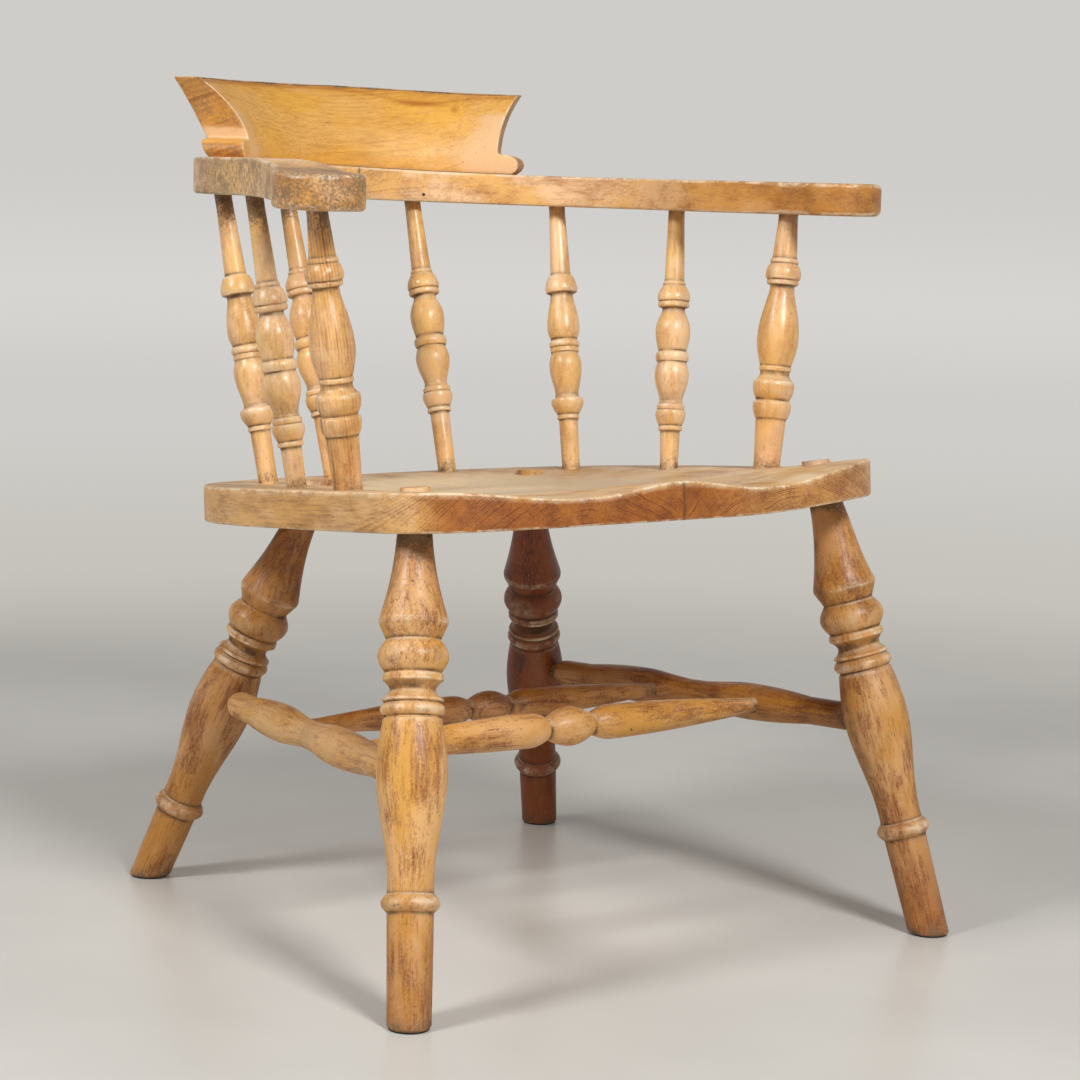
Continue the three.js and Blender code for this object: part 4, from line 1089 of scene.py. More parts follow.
def build_crest(shape):
    """Crest rail: plan laid out along the bow and upwards, wrapped round the bow. Its front face
    falls back with a power of the height, its back face evenly."""
    heights = np.concatenate([np.array(CREST_LOBE_SHARES)[:, 0], np.linspace(0.28, 1, 40)])
    width = crest_half_angle(heights) * CREST_PLAN_RADIUS
    right = np.stack([width, heights * CREST_HEIGHT], 1)
    smooth = resampled(right, np.linspace(0, 1, 400))
    right = np.stack([softened(smooth[:, 0], 5), smooth[:, 1]], 1)
    left = right * vec(-1, 1)
    foot = np.array([left[0], right[0]])
    head = np.array([left[-1], right[-1]])
    shares = (even(2 * width[0], shape.board_cell), even(CREST_END_LENGTH, shape.board_cell * 0.8))

    def front(plan):
        share = plan[:, 1] / CREST_HEIGHT
        return CREST_FOOT_INSIDE + CREST_FLARE_INSIDE * np.clip(share, 0, 1) ** CREST_HOLLOW_POWER

    def thickness(plan):
        share = np.clip(plan[:, 1] / CREST_HEIGHT, 0, 1)
        return BOW_OUTSIDE + CREST_FLARE_OUTSIDE * share - front(plan)

    def place(plan, depth):
        radius = front(plan) + depth
        angle = plan[:, 0] / CREST_PLAN_RADIUS
        points = np.stack([radius * np.sin(angle), radius * np.cos(angle), CREST_BOTTOM + plan[:, 1]], 1)
        share = np.clip(plan[:, 1] / CREST_HEIGHT, 0, 1)
        points[:, 2] += (1 - share) * bow_warp(points, BOW_TOP_LIFT, 0)
        points[:, 2] -= share * CREST_DROOP * smoothstep(points[:, 0], 0, 0.2)
        return points

    def rounding(loop):
        wear = 1 + 0.3 * ripple(loop[:, 0] * 25 + loop[:, 1] * 40, 13)
        return np.where(loop[:, 1] < 1e-4, 0.0009, shape.crest_edge * wear)

    mesh, plan, depth, marks = sawn_mesh(
        "crest_rail", (foot, head, left, right), shares, rounding,
        lambda p: np.zeros(len(p)), thickness, place)
    points = place(plan, depth)
    timber, line = sawn_timber(points, (0, 0.13, 0.60), (1, 0, 0.03), (0, 0, 1))
    timber[:, 2] += 9
    x, height = plan[:, 0], plan[:, 1]
    knot = np.hypot(x - KNOT[0], height - KNOT[1])
    timber[:, 0] += 0.010 * bell(knot, 0.010)
    marks["timber"] = timber
    normal = vertex_normals(mesh)
    turn = x / CREST_PLAN_RADIUS
    facing_along = normal[:, 0] * np.cos(turn) - normal[:, 1] * np.sin(turn)
    marks["endgrain"] = smoothstep(np.abs(facing_along), 0.5, 0.8)
    marks["groove"] = np.clip(fading(plan[:, 1], 0.0012), 0, 1) * 0.8
    inner = 1 - smoothstep(depth, 0.002, 0.006)
    oval = np.exp(-((x - STREAK[0]) / 0.020) ** 2 - ((height - STREAK[1]) / 0.0030) ** 2)
    arch = CREST_HEIGHT - height - 0.004 - 0.011 * bell(x - STREAK[0], 0.045)
    marks["tone"] = np.clip(inner * (
        1.1 * oval + 0.8 * bell(knot, 0.0035) + 0.5 * bell(arch, 0.0014)
        + 0.7 * fading(CREST_HEIGHT - height, 0.006)), 0, 1)
    worn_band = bell(height - 0.027, 0.006) * (x < 0)
    # The second term paints a pale sheen low on the right of the inner face, in the crest's blush colour; the
    # first pales the lower ends.
    rubbed = inner * (
        0.5 * smoothstep(np.abs(x), 0.105, 0.165) * (1 - smoothstep(height, 0.06, 0.085))
        + 0.32 * smoothstep(x, -0.03, 0.13) * (1 - smoothstep(height, 0.02, 0.10)))
    marks["weather"] = np.maximum(marks["endgrain"] * np.clip(0.25 + worn_band, 0, 1), rubbed)
    marks["tone"] = np.clip(marks["tone"] + 0.42 * marks["endgrain"] * (1 - worn_band), 0, 1)
    top_line = bell(CREST_HEIGHT - height, 0.0042) * (0.75 + 0.45 * ripple(x * 55, 21))
    marks["stain"] = 0.75 * top_line * inner + 0.42 * marks["endgrain"] * (1 - worn_band)
    finish_piece(mesh, "crest_rail", "crest_wood", marks)


# Shader nodes

class Sheet:
    """Places nodes in a tree and joins them. A value may be a socket or a plain number."""

    def __init__(self, tree):
        self.tree = tree

    def add(self, kind, **settings):
        node = self.tree.nodes.new(kind)
        for key, value in settings.items():
            setattr(node, key, value)
        return node

    def set(self, socket, value):
        if isinstance(value, bpy.types.NodeSocket):
            self.tree.links.new(value, socket)
        elif socket.type == "RGBA":
            socket.default_value = (*value, 1)
        else:
            socket.default_value = value

    def math(self, operation, *values, clamp=False):
        node = self.add("ShaderNodeMath", operation=operation, use_clamp=clamp)
        for socket, value in zip(node.inputs, values):
            self.set(socket, value)
        return node.outputs[0]

    def times(self, first, second, clamp=False):
        return self.math("MULTIPLY", first, second, clamp=clamp)

    def times_plus(self, first, second, third, clamp=False):
        """The product of the first two values plus the third."""
        return self.math("MULTIPLY_ADD", first, second, third, clamp=clamp)

    def from_half(self, noise):
        """A noise's distance from its middle, 0.5."""
        return self.math("SUBTRACT", noise, 0.5)

    def vector(self, operation, *values):
        node = self.add("ShaderNodeVectorMath", operation=operation)
        for socket, value in zip(node.inputs, values):
            self.set(socket, value)
        return node.outputs["Value" if operation in ("LENGTH", "DISTANCE", "DOT_PRODUCT") else "Vector"]

    def noise(self, coordinates, scale, detail=3.0, roughness=0.55, distortion=0.0):
        node = self.add("ShaderNodeTexNoise")
        self.set(node.inputs["Vector"], coordinates)
        self.set(node.inputs["Scale"], scale)
        self.set(node.inputs["Detail"], detail)
        self.set(node.inputs["Roughness"], roughness)
        self.set(node.inputs["Distortion"], distortion)
        return node

    def between(self, value, low, high, to_low=0.0, to_high=1.0):
        node = self.add("ShaderNodeMapRange", interpolation_type="SMOOTHSTEP")
        for socket, given in zip(node.inputs, (value, low, high, to_low, to_high)):
            self.set(socket, given)
        return node.outputs[0]

    def mix(self, factor, first, second, kind="MIX"):
        node = self.add("ShaderNodeMix", data_type="RGBA", blend_type=kind)
        self.set(node.inputs[0], factor)
        self.set(node.inputs[6], first)
        self.set(node.inputs[7], second)
        return node.outputs[2]

    def ragged(self, amount, unevenness, spread):
        """Mask that grows with the amount and breaks up along the noise."""
        shifted = self.math("MULTIPLY_ADD", self.math("SUBTRACT", unevenness, 0.5), spread, amount)
        return self.between(shifted, 0.35, 0.75)

    def stretched(self, coordinates, stretch, detail=2.0, roughness=0.55):
        """Noise with its own number of features per metre along each axis."""
        return self.noise(self.vector("MULTIPLY", coordinates, stretch), 1.0, detail, roughness)

    def group(self, name, values):
        """A node group with its named inputs set; gives its outputs."""
        node = self.add("ShaderNodeGroup", node_tree=bpy.data.node_groups[name])
        for socket, value in values.items():
            self.set(node.inputs[socket], value)
        return node.outputs

    def relief(self, shader, height, strength, distance):
        bump = self.add("ShaderNodeBump")
        self.set(bump.inputs["Strength"], strength)
        self.set(bump.inputs["Distance"], distance)
        self.set(bump.inputs["Height"], height)
        self.set(shader.inputs["Normal"], bump.outputs["Normal"])

    def attribute(self, name):
        node = self.add("ShaderNodeAttribute", attribute_name=name)
        return node.outputs["Vector" if name == "timber" else "Fac"]


KINDS = {"value": "NodeSocketFloat", "colour": "NodeSocketColor", "vector": "NodeSocketVector"}


def new_group(name, takes, gives):
    """Empty node group with named sockets: (name, kind, default)."""
    group = bpy.data.node_groups.new(name, "ShaderNodeTree")
    for socket, kind, default in takes:
        made = group.interface.new_socket(name=socket, in_out="INPUT", socket_type=KINDS[kind])
        if default is not None:
            made.default_value = default
    for socket, kind in gives:
        group.interface.new_socket(name=socket, in_out="OUTPUT", socket_type=KINDS[kind])
    sheet = Sheet(group)
    return group, sheet, sheet.add("NodeGroupInput").outputs, sheet.add("NodeGroupOutput").inputs


def wood_figure_group():
    """Uneven growth rings round the pith, streaks and pores along the grain, gold and pinkish
    clouds, and a fine speckle."""
    group, sheet, given, out = new_group(
        "wood_figure",
        [("Timber", "vector", None), ("Light", "colour", (0.6, 0.4, 0.2, 1)),
         ("Dark", "colour", (0.3, 0.15, 0.05, 1)), ("Blush", "colour", (0.7, 0.4, 0.2, 1)),
         ("Ring Spacing", "value", 0.003), ("Ring Contrast", "value", 0.5),
         ("Streak Contrast", "value", 0.5), ("Cloud Contrast", "value", 0.5),
         ("Mottle", "value", 0.5), ("End Grain", "value", 0.0)],
        [("Colour", "colour"), ("Height", "value")])
    timber = given["Timber"]
    drift = sheet.stretched(timber, (9.0, 9.0, 2.2)).outputs[1]
    wobble = sheet.stretched(timber, (95.0, 95.0, 8.0)).outputs[1]
    bent = timber
    for offset, reach in ((drift, 0.022), (wobble, 0.0024)):
        moved = sheet.vector("SUBTRACT", offset, (0.5, 0.5, 0.5))
        bent = sheet.vector("ADD", bent, sheet.vector("MULTIPLY", moved, (reach, reach, 0.0)))
    square = sheet.vector("MULTIPLY", bent, (1.0, 1.0, 0.0))
    phase = sheet.math("DIVIDE", sheet.vector("LENGTH", square), given["Ring Spacing"])
    share = sheet.math("FRACT", phase)
    late = sheet.times(
        sheet.between(share, 0.1, 0.8), sheet.between(share, 0.84, 1.0, 1.0, 0.0))
    luck = sheet.add("ShaderNodeTexWhiteNoise", noise_dimensions="1D")
    sheet.set(luck.inputs["W"], sheet.math("FLOOR", phase))
    weight = sheet.times_plus(sheet.math("POWER", luck.outputs["Value"], 2.0), 0.85, 0.15)
    patch = sheet.between(sheet.stretched(timber, (28.0, 28.0, 6.0)).outputs[0], 0.36, 0.62, 0.2, 1.0)
    rings = sheet.times(sheet.times(late, weight), patch)
    streak = sheet.stretched(bent, (330.0, 330.0, 15.0), 3.0, 0.65).outputs[0]
    fine = sheet.stretched(bent, (1000.0, 1000.0, 60.0), 2.0).outputs[0]
    pores = sheet.between(sheet.stretched(timber, (620.0, 620.0, 90.0), 2.0).outputs[0], 0.60, 0.70)
    cloud = sheet.stretched(timber, (42.0, 42.0, 17.0), 5.0, 0.62).outputs[0]
    rosy = sheet.stretched(timber, (26.0, 26.0, 11.0), 4.0, 0.6).outputs[1]
    rosy = sheet.between(sheet.vector("DOT_PRODUCT", rosy, (0.0, 1.0, 0.0)), 0.40, 0.60)
    speckle = sheet.noise(timber, 520.0, 2.0, 0.6).outputs[0]
    smear = sheet.add("ShaderNodeTexNoise")
    for socket, value in (
            ("Vector", sheet.vector("MULTIPLY", timber, (70.0, 70.0, 38.0))), ("Scale", 1.0),
            ("Detail", 5.0), ("Roughness", 0.68), ("Distortion", 1.2)):
        sheet.set(smear.inputs[socket], value)
    smear = sheet.between(smear.outputs[0], 0.58, 0.70)
    fleck = sheet.between(sheet.noise(timber, 340.0, 3.0, 0.7).outputs[0], 0.60, 0.68)
    contrast = sheet.times_plus(given["End Grain"], 0.8, given["Ring Contrast"])
    dark = sheet.times_plus(rings, contrast, 0.16)
    for noise, weight in ((streak, 3.4), (fine, 2.0)):
        centred = sheet.times(sheet.from_half(noise), weight)
        dark = sheet.times_plus(centred, given["Streak Contrast"], dark)
    centred = sheet.times(sheet.from_half(cloud), 4.6)
    dark = sheet.times_plus(centred, given["Cloud Contrast"], dark)
    mottle = sheet.times(sheet.from_half(speckle), given["Mottle"])
    dark = sheet.times_plus(mottle, 1.6, dark)
    dark = sheet.times_plus(sheet.times(smear, given["Mottle"]), 0.62, dark)
    dark = sheet.times_plus(pores, 0.35, dark)
    dark = sheet.times_plus(given["End Grain"], 0.1, dark, clamp=True)
    rosy = sheet.times(rosy, sheet.times(given["Cloud Contrast"], 1.2, clamp=True))
    base = sheet.mix(rosy, given["Light"], given["Blush"])
    figured = sheet.mix(dark, base, given["Dark"])
    pale = sheet.times(fleck, sheet.times(given["Mottle"], 0.8))
    sheet.set(out["Colour"], sheet.mix(pale, figured, given["Blush"]))
    height = sheet.times_plus(streak, 0.5, sheet.times(rings, -0.25))
    sheet.set(out["Height"], sheet.times_plus(pores, -0.5, height))
    return group


def age_group():
    """Dirt and dust in creases, dark stains, greyed faces, and pale arrises that are partly bare worn edges
    and partly painted highlight, all ragged.
    """
    group, sheet, given, out = new_group(
        "age_and_wear",
        [("Colour", "colour", (0.5, 0.3, 0.15, 1)), ("Place", "vector", None),
         ("Groove", "value", 0.0), ("Dusty", "value", 0.0), ("Edge", "value", 0.0),
         ("Stain", "value", 0.0), ("Weather", "value", 0.0), ("Dirt", "colour", (0.05, 0.03, 0.01, 1)),
         ("Dust", "colour", (0.6, 0.5, 0.36, 1)), ("Worn", "colour", (0.6, 0.42, 0.24, 1)),
         ("Grey", "colour", (0.3, 0.2, 0.1, 1)), ("Polish", "value", 0.45),
         ("Mottle", "value", 0.5), ("Grime", "value", 0.1)],
        [("Colour", "colour"), ("Roughness", "value"), ("Height", "value")])
    place = given["Place"]
    patchy = sheet.noise(place, 60.0, 5.0, 0.65).outputs[0]
    fine = sheet.noise(place, 420.0, 3.0, 0.6).outputs[0]
    broad = sheet.noise(place, 17.0, 4.0, 0.6).outputs[0]
    groove = sheet.times(given["Groove"], sheet.between(patchy, 0.34, 0.6, 0.35, 0.9))
    grainy = sheet.times_plus(patchy, 0.5, sheet.times(fine, 0.5))
    grainy = sheet.between(grainy, 0.36, 0.64, 0.35, 1.65)
    stain = sheet.between(sheet.times(given["Stain"], grainy), 0.25, 0.95, 0.0, 0.86)
    edge = sheet.times(given["Edge"], sheet.between(patchy, 0.42, 0.6, 0.1, 0.9))
    weather = sheet.times(sheet.ragged(given["Weather"], broad, 1.2), 0.85)
    dusty = sheet.times(given["Dusty"], sheet.between(patchy, 0.38, 0.6, 0.1, 0.75))
    flecks = sheet.between(sheet.noise(place, 210.0, 2.0, 0.5).outputs[0], 0.70, 0.77)
    # Fine pale sparks in the worn colour: partly wear flecks and partly painted glints.
    glints_and_wear_flecks = sheet.between(sheet.noise(place, 640.0, 3.0, 0.7).outputs[0], 0.625, 0.68)
    brushed = sheet.stretched(place, (900.0, 900.0, 210.0), 3.0, 0.65).outputs[0]
    broken = sheet.times(sheet.between(brushed, 0.40, 0.56), sheet.between(patchy, 0.36, 0.54))
    grey = sheet.mix(broken, sheet.mix(given["Grime"], given["Grey"], given["Dirt"]), given["Grey"])
    chips = sheet.times(
        sheet.between(sheet.noise(place, 150.0, 2.0).outputs[0], 0.66, 0.70), given["Edge"])
    colour = sheet.mix(weather, given["Colour"], grey)
    brown = sheet.mix(0.2, given["Dirt"], given["Grey"])
    # The edge mask's pale colour is partly wear and partly painted highlight.
    for mask, over in (
            (edge, given["Worn"]), (stain, brown), (groove, given["Dirt"]),
            (dusty, given["Dust"]),
            (sheet.times(flecks, given["Mottle"]), given["Dirt"]),
            (sheet.times(glints_and_wear_flecks, sheet.times(given["Mottle"], 0.55)), given["Worn"]),
            (chips, given["Worn"])):
        colour = sheet.mix(mask, colour, over)
    sheet.set(out["Colour"], colour)
    rough = sheet.times_plus(sheet.from_half(patchy), 0.5, given["Polish"])
    for mask, rougher in ((groove, 0.3), (weather, 0.14), (dusty, 0.3), (stain, 0.1)):
        rough = sheet.times_plus(mask, rougher, rough, clamp=True)
    sheet.set(out["Roughness"], rough)
    height = sheet.times_plus(fine, 0.4, sheet.times(patchy, 0.8))
    sheet.set(out["Height"], sheet.times_plus(flecks, -0.6, height))
    return group


def scratch_group():
    """Short thin scratches: the zero line of a stretched noise, where a second noise allows."""
    group, sheet, given, out = new_group(
        "fine_scratches", [("Place", "vector", None), ("Amount", "value", 0.5)],
        [("Mask", "value")])
    total = None
    for turn in ((700.0, 60.0, 90.0), (80.0, 640.0, 120.0)):
        stretched = sheet.vector("MULTIPLY", given["Place"], turn)
        line = sheet.noise(stretched, 1.0, 1.0).outputs[0]
        near = sheet.math("ABSOLUTE", sheet.from_half(line))
        thin = sheet.between(near, 0.0, 0.012, 1.0, 0.0)
        total = thin if total is None else sheet.math("MAXIMUM", total, thin)
    allow = sheet.between(sheet.noise(given["Place"], 38.0, 2.0).outputs[0], 0.56, 0.66)
    sheet.set(out["Mask"], sheet.times(sheet.times(total, allow), given["Amount"]))
    return group


def wood_material(name, finish, woods, grey, tint, figure_values, surface):
    """Wood of one kind of piece: figure, a tint where the piece asks for one, then age and wear,
    then scratches. figure_values: ring spacing, and the contrast of rings, streaks and clouds.
    surface: roughness, relief, scratches, mottle, and how far dirt darkens greyed faces."""
    light, dark, blush = (tuple(colour) for colour in woods)
    spacing, rings, streaks, clouds = figure_values
    polish, bump, scratches, mottle, grime = surface
    material = bpy.data.materials.new(name)
    material.use_nodes = True
    sheet = Sheet(material.node_tree)
    shader = material.node_tree.nodes["Principled BSDF"]
    place = sheet.add("ShaderNodeTexCoord").outputs["Object"]
    aged = sheet.math("MAXIMUM", sheet.attribute("weather"), sheet.attribute("stain"))
    mottle = sheet.times(sheet.times_plus(aged, 1.8, 1.0), mottle)
    figure = sheet.group("wood_figure", {
        "Timber": sheet.attribute("timber"), "Light": light, "Dark": dark, "Blush": blush,
        "Ring Spacing": spacing,
        "Ring Contrast": sheet.times_plus(sheet.attribute("figure"), 1.1, rings),
        "Streak Contrast": streaks, "Cloud Contrast": clouds, "Mottle": mottle,
        "End Grain": sheet.attribute("endgrain")})
    toned = sheet.mix(sheet.attribute("tone"), figure["Colour"], tint, "MULTIPLY")
    age = sheet.group("age_and_wear", {
        "Colour": toned, "Place": place, "Groove": sheet.attribute("groove"),
        "Dusty": sheet.attribute("dust"), "Edge": sheet.attribute("edge"),
        "Stain": sheet.attribute("stain"), "Weather": sheet.attribute("weather"),
        "Dirt": tuple(finish.dirt), "Dust": tuple(finish.dust), "Worn": tuple(finish.worn),
        "Grey": tuple(grey), "Polish": polish, "Mottle": mottle, "Grime": grime})
    scored_by = sheet.times_plus(sheet.attribute("weather"), 1.2, 1.0)
    scratch = sheet.group("fine_scratches", {
        "Place": place, "Amount": sheet.times(scored_by, scratches)})["Mask"]
    scored = sheet.mix(sheet.times(scratch, 0.5), age["Colour"], dark)
    sheet.set(shader.inputs["Base Color"], scored)
    sheet.set(shader.inputs["Roughness"], age["Roughness"])
    height = sheet.times_plus(figure["Height"], 0.5, age["Height"])
    height = sheet.times_plus(scratch, -0.8, height)
    sheet.relief(shader, height, bump, 0.0005)
    return material


def plain_material(name, colour, roughness, metallic, grit):
    """Small or studio surface: one colour with a fine mottle in colour, gloss and relief."""
    material = bpy.data.materials.new(name)
    material.use_nodes = True
    sheet = Sheet(material.node_tree)
    shader = material.node_tree.nodes["Principled BSDF"]
    place = sheet.add("ShaderNodeTexCoord").outputs["Object"]
    mottle = sheet.noise(place, grit, 3.0).outputs[0]
    scaled = sheet.add("ShaderNodeVectorMath", operation="SCALE")
    sheet.set(scaled.inputs[0], tuple(colour))
    sheet.set(scaled.inputs["Scale"], sheet.between(mottle, 0.2, 0.8, 0.94, 1.05))
    sheet.set(shader.inputs["Base Color"], scaled.outputs["Vector"])
    sheet.set(shader.inputs["Roughness"], sheet.between(mottle, 0.2, 0.8, roughness * 0.92, roughness))
    shader.inputs["Metallic"].default_value = metallic
    sheet.relief(shader, mottle, 0.2, 0.0002)
    return material


def sweep_material(studio):
    """Studio paint that is lit like the floor near the chair. Further out, rays that show it to the camera or
    in a gloss see an emitted tone instead, which lights nothing: painted studio light, darker at the
    backdrop's foot and paler high up, with a pale band of light across the cove."""
    material = plain_material("studio_paint", studio.floor, 0.36, 0.0, 3)
    tree = material.node_tree
    sheet = Sheet(tree)
    reach = sheet.attribute("reach")
    tone = sheet.mix(
        sheet.between(reach, 1.6, 5.3), tuple(studio.backdrop_lit_foot), tuple(studio.backdrop_lit_top))
    # Painted band of light across the cove.
    light_band = sheet.times(sheet.between(reach, 5.2, 5.75), sheet.between(reach, 5.75, 6.3, 1.0, 0.0))
    tone = sheet.mix(light_band, tone, tuple(studio.backdrop_light_band))
    glow = sheet.add("ShaderNodeEmission")
    sheet.set(glow.inputs["Color"], tone)
    rays = sheet.add("ShaderNodeLightPath").outputs
    seen = sheet.math("MAXIMUM", rays["Is Camera Ray"], rays["Is Glossy Ray"])
    seen = sheet.math("MAXIMUM", seen, rays["Is Transmission Ray"])
    blend = sheet.add("ShaderNodeMixShader")
    sheet.set(blend.inputs[0], sheet.times(seen, sheet.between(reach, 1.0, 2.4)))
    tree.links.new(tree.nodes["Principled BSDF"].outputs[0], blend.inputs[1])
    tree.links.new(glow.outputs[0], blend.inputs[2])
    tree.links.new(blend.outputs[0], tree.nodes["Material Output"].inputs["Surface"])
    return material


# Operators

HANDS = (("left", 1), ("right", -1))


class CHAIR_OT_materials(bpy.types.Operator):
    """Make the node groups and the woods"""
    bl_idname = "chair.materials"
    bl_label = "Make the woods"

    def execute(self, context):
        finish = context.scene.chair_finish
        wood_figure_group()
        age_group()
        scratch_group()
        legs = (finish.leg_light, finish.leg_dark, finish.leg_blush)
        spindles = (finish.spindle_light, finish.spindle_dark, finish.spindle_blush)
        seat = (finish.seat_light, finish.seat_dark, finish.crest_blush)
        bow = (finish.bow_light, finish.bow_dark, finish.spindle_blush)
        crest = (finish.crest_light, finish.crest_dark, finish.crest_blush)
        for name, woods, grey, tint, figure_values, surface in (
                ("leg_wood", legs, finish.leg_pale, (0.36, 0.155, 0.020),
                 (0.0024, 0.16, 0.56, 0.85), (0.42, 0.5, 0.7, 0.48, 0.10)),
                ("spindle_wood", spindles, finish.weathered, (0.86, 0.72, 0.58),
                 (0.0030, 0.05, 0.22, 0.55), (0.33, 0.4, 0.5, 0.26, 0.10)),
                ("seat_wood", seat, finish.seat_washed_and_sheen, (0.55, 0.31, 0.095),
                 (0.0020, 0.60, 0.36, 0.5), (0.44, 0.35, 0.36, 0.20, 0.12)),
                ("bow_wood", bow, finish.weathered, (0.57, 0.385, 0.13),
                 (0.0034, 0.16, 0.26, 0.62), (0.34, 0.4, 0.76, 0.24, 0.74)),
                ("crest_wood", crest, finish.crest_blush, (0.60, 0.42, 0.28),
                 (0.0052, 0.36, 0.36, 0.2), (0.46, 0.3, 0.5, 0.14, 0.05))):
            wood_material(name, finish, woods, grey, tint, figure_values, surface)
        plain_material("dowel_wood", finish.spindle_light, 0.6, 0.0, 300)
        plain_material("old_iron", finish.iron, 0.6, 0.4, 900)
        # Near-black discs under the feet: painted shadow.
        plain_material("foot_shadow_paint", finish.pad, 0.9, 0.0, 1200)
        return {"FINISHED"}


class CHAIR_OT_seat(bpy.types.Operator):
    """Build the two saddled boards of the seat"""
    bl_idname = "chair.seat"
    bl_label = "Seat boards"

    def execute(self, context):
        for hand, side in HANDS:
            build_seat_board(hand, side, context.scene.chair_shape)
        return {"FINISHED"}


class CHAIR_OT_legs(bpy.types.Operator):
    """Turn the four raked legs"""
    bl_idname = "chair.legs"
    bl_label = "Legs"

    def execute(self, context):
        order = 1
        for spec in LEGS:
            for hand, side in HANDS:
                build_leg(hand, side, spec, context.scene.chair_shape, order)
                order += 1
        return {"FINISHED"}


class CHAIR_OT_stretchers(bpy.types.Operator):
    """Turn the side stretchers and the two cross stretchers between them"""
    bl_idname = "chair.stretchers"
    bl_label = "Stretchers"

    def execute(self, context):
        shape = context.scene.chair_shape
        ends = {}
        for hand, side in HANDS:
            front = leg_axis_point(LEGS[0], side, SIDE_FRONT_HEIGHT)
            rear = leg_axis_point(LEGS[1], side, SIDE_REAR_HEIGHT)
            straight = shape.leg_swell / 2 - LEG_CORE + STRETCHER_LEAD
            build_stretcher(
                f"side_stretcher_{hand}", front, rear, LEG_CORE, straight, SIDE_STRETCHER_SHARES,
                shape.side_stretcher_swell, shape, 31 + side, 0.25 + 0.25 * side, 0.74)
            line = (rear - front) / np.linalg.norm(rear - front)
            ends[hand] = (front + line * FRONT_CROSS_PLACE, rear - line * REAR_CROSS_PLACE)
        straight = shape.side_stretcher_swell / 2 - STRETCHER_CORE + STRETCHER_LEAD
        for index, end, swell in ((0, "front", shape.front_cross_swell), (1, "rear", shape.rear_cross_swell)):
            build_stretcher(
                f"cross_stretcher_{end}", ends["right"][index], ends["left"][index],
                STRETCHER_CORE, straight, CROSS_STRETCHER_SHARES, swell, shape, 41 + index,
                0.14 + 0.36 * index)
        return {"FINISHED"}


class CHAIR_OT_posts(bpy.types.Operator):
    """Turn the arm posts and the six spindles"""
    bl_idname = "chair.posts"
    bl_label = "Posts and spindles"

    def execute(self, context):
        shape = context.scene.chair_shape
        order = 51
        for hand, side in HANDS:
            near = 0.9 if side < 0 else 0.25
            foot = on_seat(POST_SEAT, side)
            head = vec(side * POST_HEAD[0], POST_HEAD[1], ARM_UNDERSIDE)
            span = np.linalg.norm(head - foot)
            swell = shape.post_swell
            places, radii = turned_outline(
                STRAIGHT_LEAD, POST_START_SHARE * swell, POST_TURNING_SHARES, span, swell)
            build_standing(
                f"arm_post_{hand}", foot, head, places[1:], radii[1:],
                POST_START_SHARE * swell, POST_TOP_SHARE * swell, shape, order, near)
            for place, seat_xy, angle, kind in SPINDLES:
                order += 1
                foot = on_seat(seat_xy, side)
                head = vec(side * BOW_RADIUS * math.cos(angle), BOW_RADIUS * math.sin(angle), ARM_UNDERSIDE)
                span = np.linalg.norm(head - foot)
                swell = shape.spindle_swell
                places, radii = turned_outline(0, 0, SPINDLE_SHARES[kind], SPINDLE_TURNING, swell)
                build_standing(
                    f"spindle_{place}_{hand}", foot, head,
                    places[OUTLINE_STEPS:] + span - SPINDLE_RING_DROP, radii[OUTLINE_STEPS:],
                    SPINDLE_FOOT_SHARE * swell, SPINDLE_TOP_SHARE * swell, shape, order, near)
            order += 1
        return {"FINISHED"}


class CHAIR_OT_arms(bpy.types.Operator):
    """Saw the two arms of the bow"""
    bl_idname = "chair.arms"
    bl_label = "Arms"

    def execute(self, context):
        for hand, side in HANDS:
            build_arm(hand, side, context.scene.chair_shape)
        return {"FINISHED"}


class CHAIR_OT_nail(bpy.types.Operator):
    """Drive the small old nail into the inner face of the left arm"""
    bl_idname = "chair.nail"
    bl_label = "Nail"

    def execute(self, context):
        inward = -vec(math.cos(NAIL_ANGLE), math.sin(NAIL_ANGLE), 0)
        face = -inward * BOW_INSIDE + vec(0, 0, NAIL_HEIGHT)
        build_button(
            "arm_nail", face - inward * NAIL_PROUD, face + inward * NAIL_PROUD, NAIL_RADIUS,
            "old_iron", context.scene.chair_shape)
        return {"FINISHED"}


class CHAIR_OT_crest(bpy.types.Operator):
    """Shape the crest rail and finish the hidden dowels under it"""
    bl_idname = "chair.crest"
    bl_label = "Crest rail"

    def execute(self, context):
        build_crest(context.scene.chair_shape)
        for name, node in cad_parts.items():
            if name.startswith("crest_dowel"):
                node.data.materials.clear()
                node.data.materials.append(bpy.data.materials["dowel_wood"])
        return {"FINISHED"}


SWEEP_FLAT = 4.6
SWEEP_COVE = 1.8
SWEEP_WALL = 4.2
SWEEP_SEGMENTS = 96
CAMERA_PLACE = (-1.52388, -2.22253, 0.70141)
CAMERA_RIGHT = (0.816049, -0.577498, 0.023681)
CAMERA_UP = (0.054622, 0.117844, 0.991529)
CAMERA_AHEAD = (0.575396, 0.807842, -0.127710)


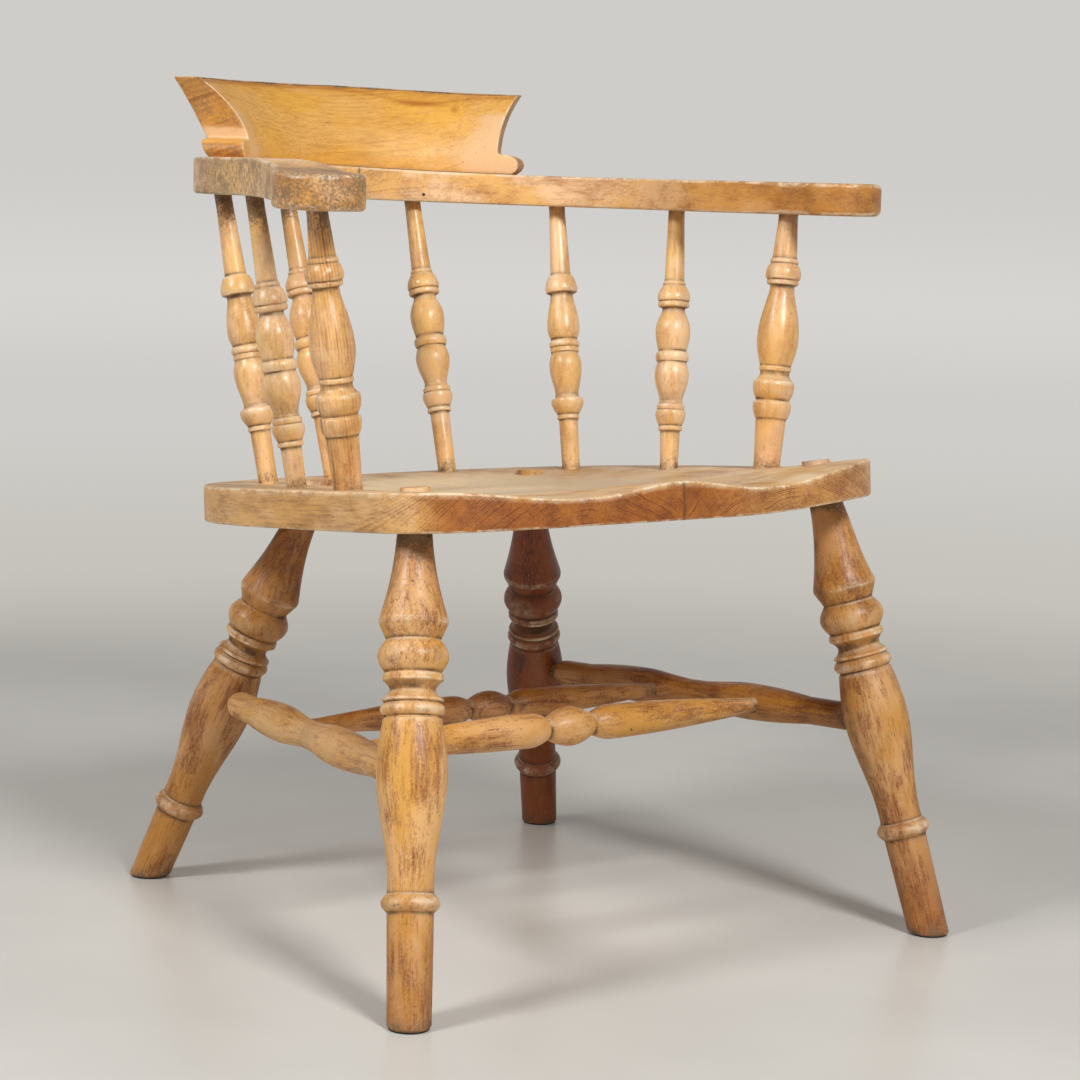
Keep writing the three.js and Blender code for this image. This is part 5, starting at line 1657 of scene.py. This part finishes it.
class CHAIR_OT_stage(bpy.types.Operator):
    """Set up the floor, the backdrop, the lamps and the camera"""
    bl_idname = "chair.stage"
    bl_label = "Studio"

    def execute(self, context):
        studio = context.scene.chair_studio
        scene = context.scene
        scene.view_settings.view_transform = "Standard"
        world = bpy.data.worlds.new("studio_room")
        world.use_nodes = True
        background = world.node_tree.nodes["Background"]
        background.inputs["Color"].default_value = (1, 0.995, 0.985, 1)
        background.inputs["Strength"].default_value = studio.sky
        scene.world = world
        self.sweep(studio)
        self.lamp("front_softbox", (-0.31, -3.08, 2.64), studio.lamp_size, studio.front_power)
        self.lamp("side_softbox", (-2.87, -0.10, 2.64), studio.lamp_size, studio.side_power)
        camera = bpy.data.objects.new("camera", bpy.data.cameras.new("camera"))
        camera.data.sensor_width = 36
        camera.data.lens = studio.lens
        camera.data.clip_start = 0.05
        camera.data.clip_end = 100
        scene.collection.objects.link(camera)
        axes = Matrix((CAMERA_RIGHT, CAMERA_UP, [-x for x in CAMERA_AHEAD])).transposed()
        camera.matrix_world = Matrix.Translation(CAMERA_PLACE) @ axes.to_4x4()
        scene.camera = camera
        return {"FINISHED"}

    def lamp(self, name, place, size, power):
        data = bpy.data.lights.new(name, "AREA")
        data.shape = "DISK"
        data.size = size
        data.energy = power
        lamp = bpy.data.objects.new(name, data)
        bpy.context.scene.collection.objects.link(lamp)
        lamp.location = place
        aim = Vector((0, 0, 0.4)) - Vector(place)
        lamp.rotation_euler = aim.to_track_quat("-Z", "Y").to_euler()
        lamp.visible_camera = False
        lamp.visible_glossy = True

    def sweep(self, studio):
        """Round studio floor that rises in a cove to a wall all round: rings of growing radius,
        then a quarter circle, then upright. Each ring stores how far along the sweep it lies."""
        flat = np.array([0.2, 0.5, 0.8, 1.1, 1.4, 1.7, 2.0, 2.4, 2.8, 3.2, 3.7, 4.2, SWEEP_FLAT])
        turn = np.radians(np.linspace(5, 90, 18))
        wall = np.linspace(0.2, SWEEP_WALL - SWEEP_COVE, 8)
        radius = np.concatenate([
            flat, SWEEP_FLAT + SWEEP_COVE * np.sin(turn), np.full(8, SWEEP_FLAT + SWEEP_COVE)])
        height = np.concatenate([flat * 0, SWEEP_COVE * (1 - np.cos(turn)), SWEEP_COVE + wall])
        reach = np.concatenate([
            flat, SWEEP_FLAT + SWEEP_COVE * turn, SWEEP_FLAT + SWEEP_COVE * np.pi / 2 + wall])
        around = np.linspace(0, TAU, SWEEP_SEGMENTS, endpoint=False)
        x, y = np.outer(radius, np.cos(around)), np.outer(radius, np.sin(around))
        z = np.outer(height, np.ones(SWEEP_SEGMENTS))
        points = np.stack([x, y, z], -1).reshape(-1, 3)
        index = np.arange(len(points)).reshape(len(radius), SWEEP_SEGMENTS)
        after = np.roll(index, -1, 1)
        quads = np.stack([index[:-1], index[1:], after[1:], after[:-1]], -1).reshape(-1, 4)
        mesh = bpy.data.meshes.new("studio_sweep")
        mesh.from_pydata(points.tolist(), [], quads.tolist() + [index[0].tolist()])
        mesh.polygons.foreach_set("use_smooth", np.ones(len(mesh.polygons), bool))
        mark(mesh, "reach", np.repeat(reach, SWEEP_SEGMENTS))
        sweep = bpy.data.objects.new("studio_sweep", mesh)
        bpy.context.scene.collection.objects.link(sweep)
        mesh.materials.append(sweep_material(studio))


class CHAIR_PT_panel(bpy.types.Panel):
    bl_label = "Captains chair"
    bl_idname = "CHAIR_PT_panel"
    bl_space_type = "VIEW_3D"
    bl_region_type = "UI"
    bl_category = "Chair"

    def draw(self, context):
        for settings in ("chair_shape", "chair_finish", "chair_studio"):
            group = getattr(context.scene, settings)
            box = self.layout.box()
            for name in group.bl_rna.properties.keys():
                if name not in ("rna_type", "name"):
                    box.prop(group, name)
        for operator in OPERATORS:
            self.layout.operator(operator.bl_idname)


OPERATORS = (
    CHAIR_OT_materials, CHAIR_OT_seat, CHAIR_OT_legs, CHAIR_OT_stretchers, CHAIR_OT_posts,
    CHAIR_OT_arms, CHAIR_OT_nail, CHAIR_OT_crest, CHAIR_OT_stage,
)
SETTINGS = (("chair_shape", ChairShape), ("chair_finish", ChairFinish), ("chair_studio", StudioSettings))


def register():
    for name, group in SETTINGS:
        bpy.utils.register_class(group)
        setattr(bpy.types.Scene, name, bpy.props.PointerProperty(type=group))
    for item in (*OPERATORS, CHAIR_PT_panel):
        bpy.utils.register_class(item)


def unregister():
    for item in (CHAIR_PT_panel, *reversed(OPERATORS)):
        bpy.utils.unregister_class(item)
    for name, group in reversed(SETTINGS):
        delattr(bpy.types.Scene, name)
        bpy.utils.unregister_class(group)


def main():
    register()
    for operator in OPERATORS:
        group, name = operator.bl_idname.split(".")
        getattr(getattr(bpy.ops, group), name)()


if __name__ == "__main__":
    main()
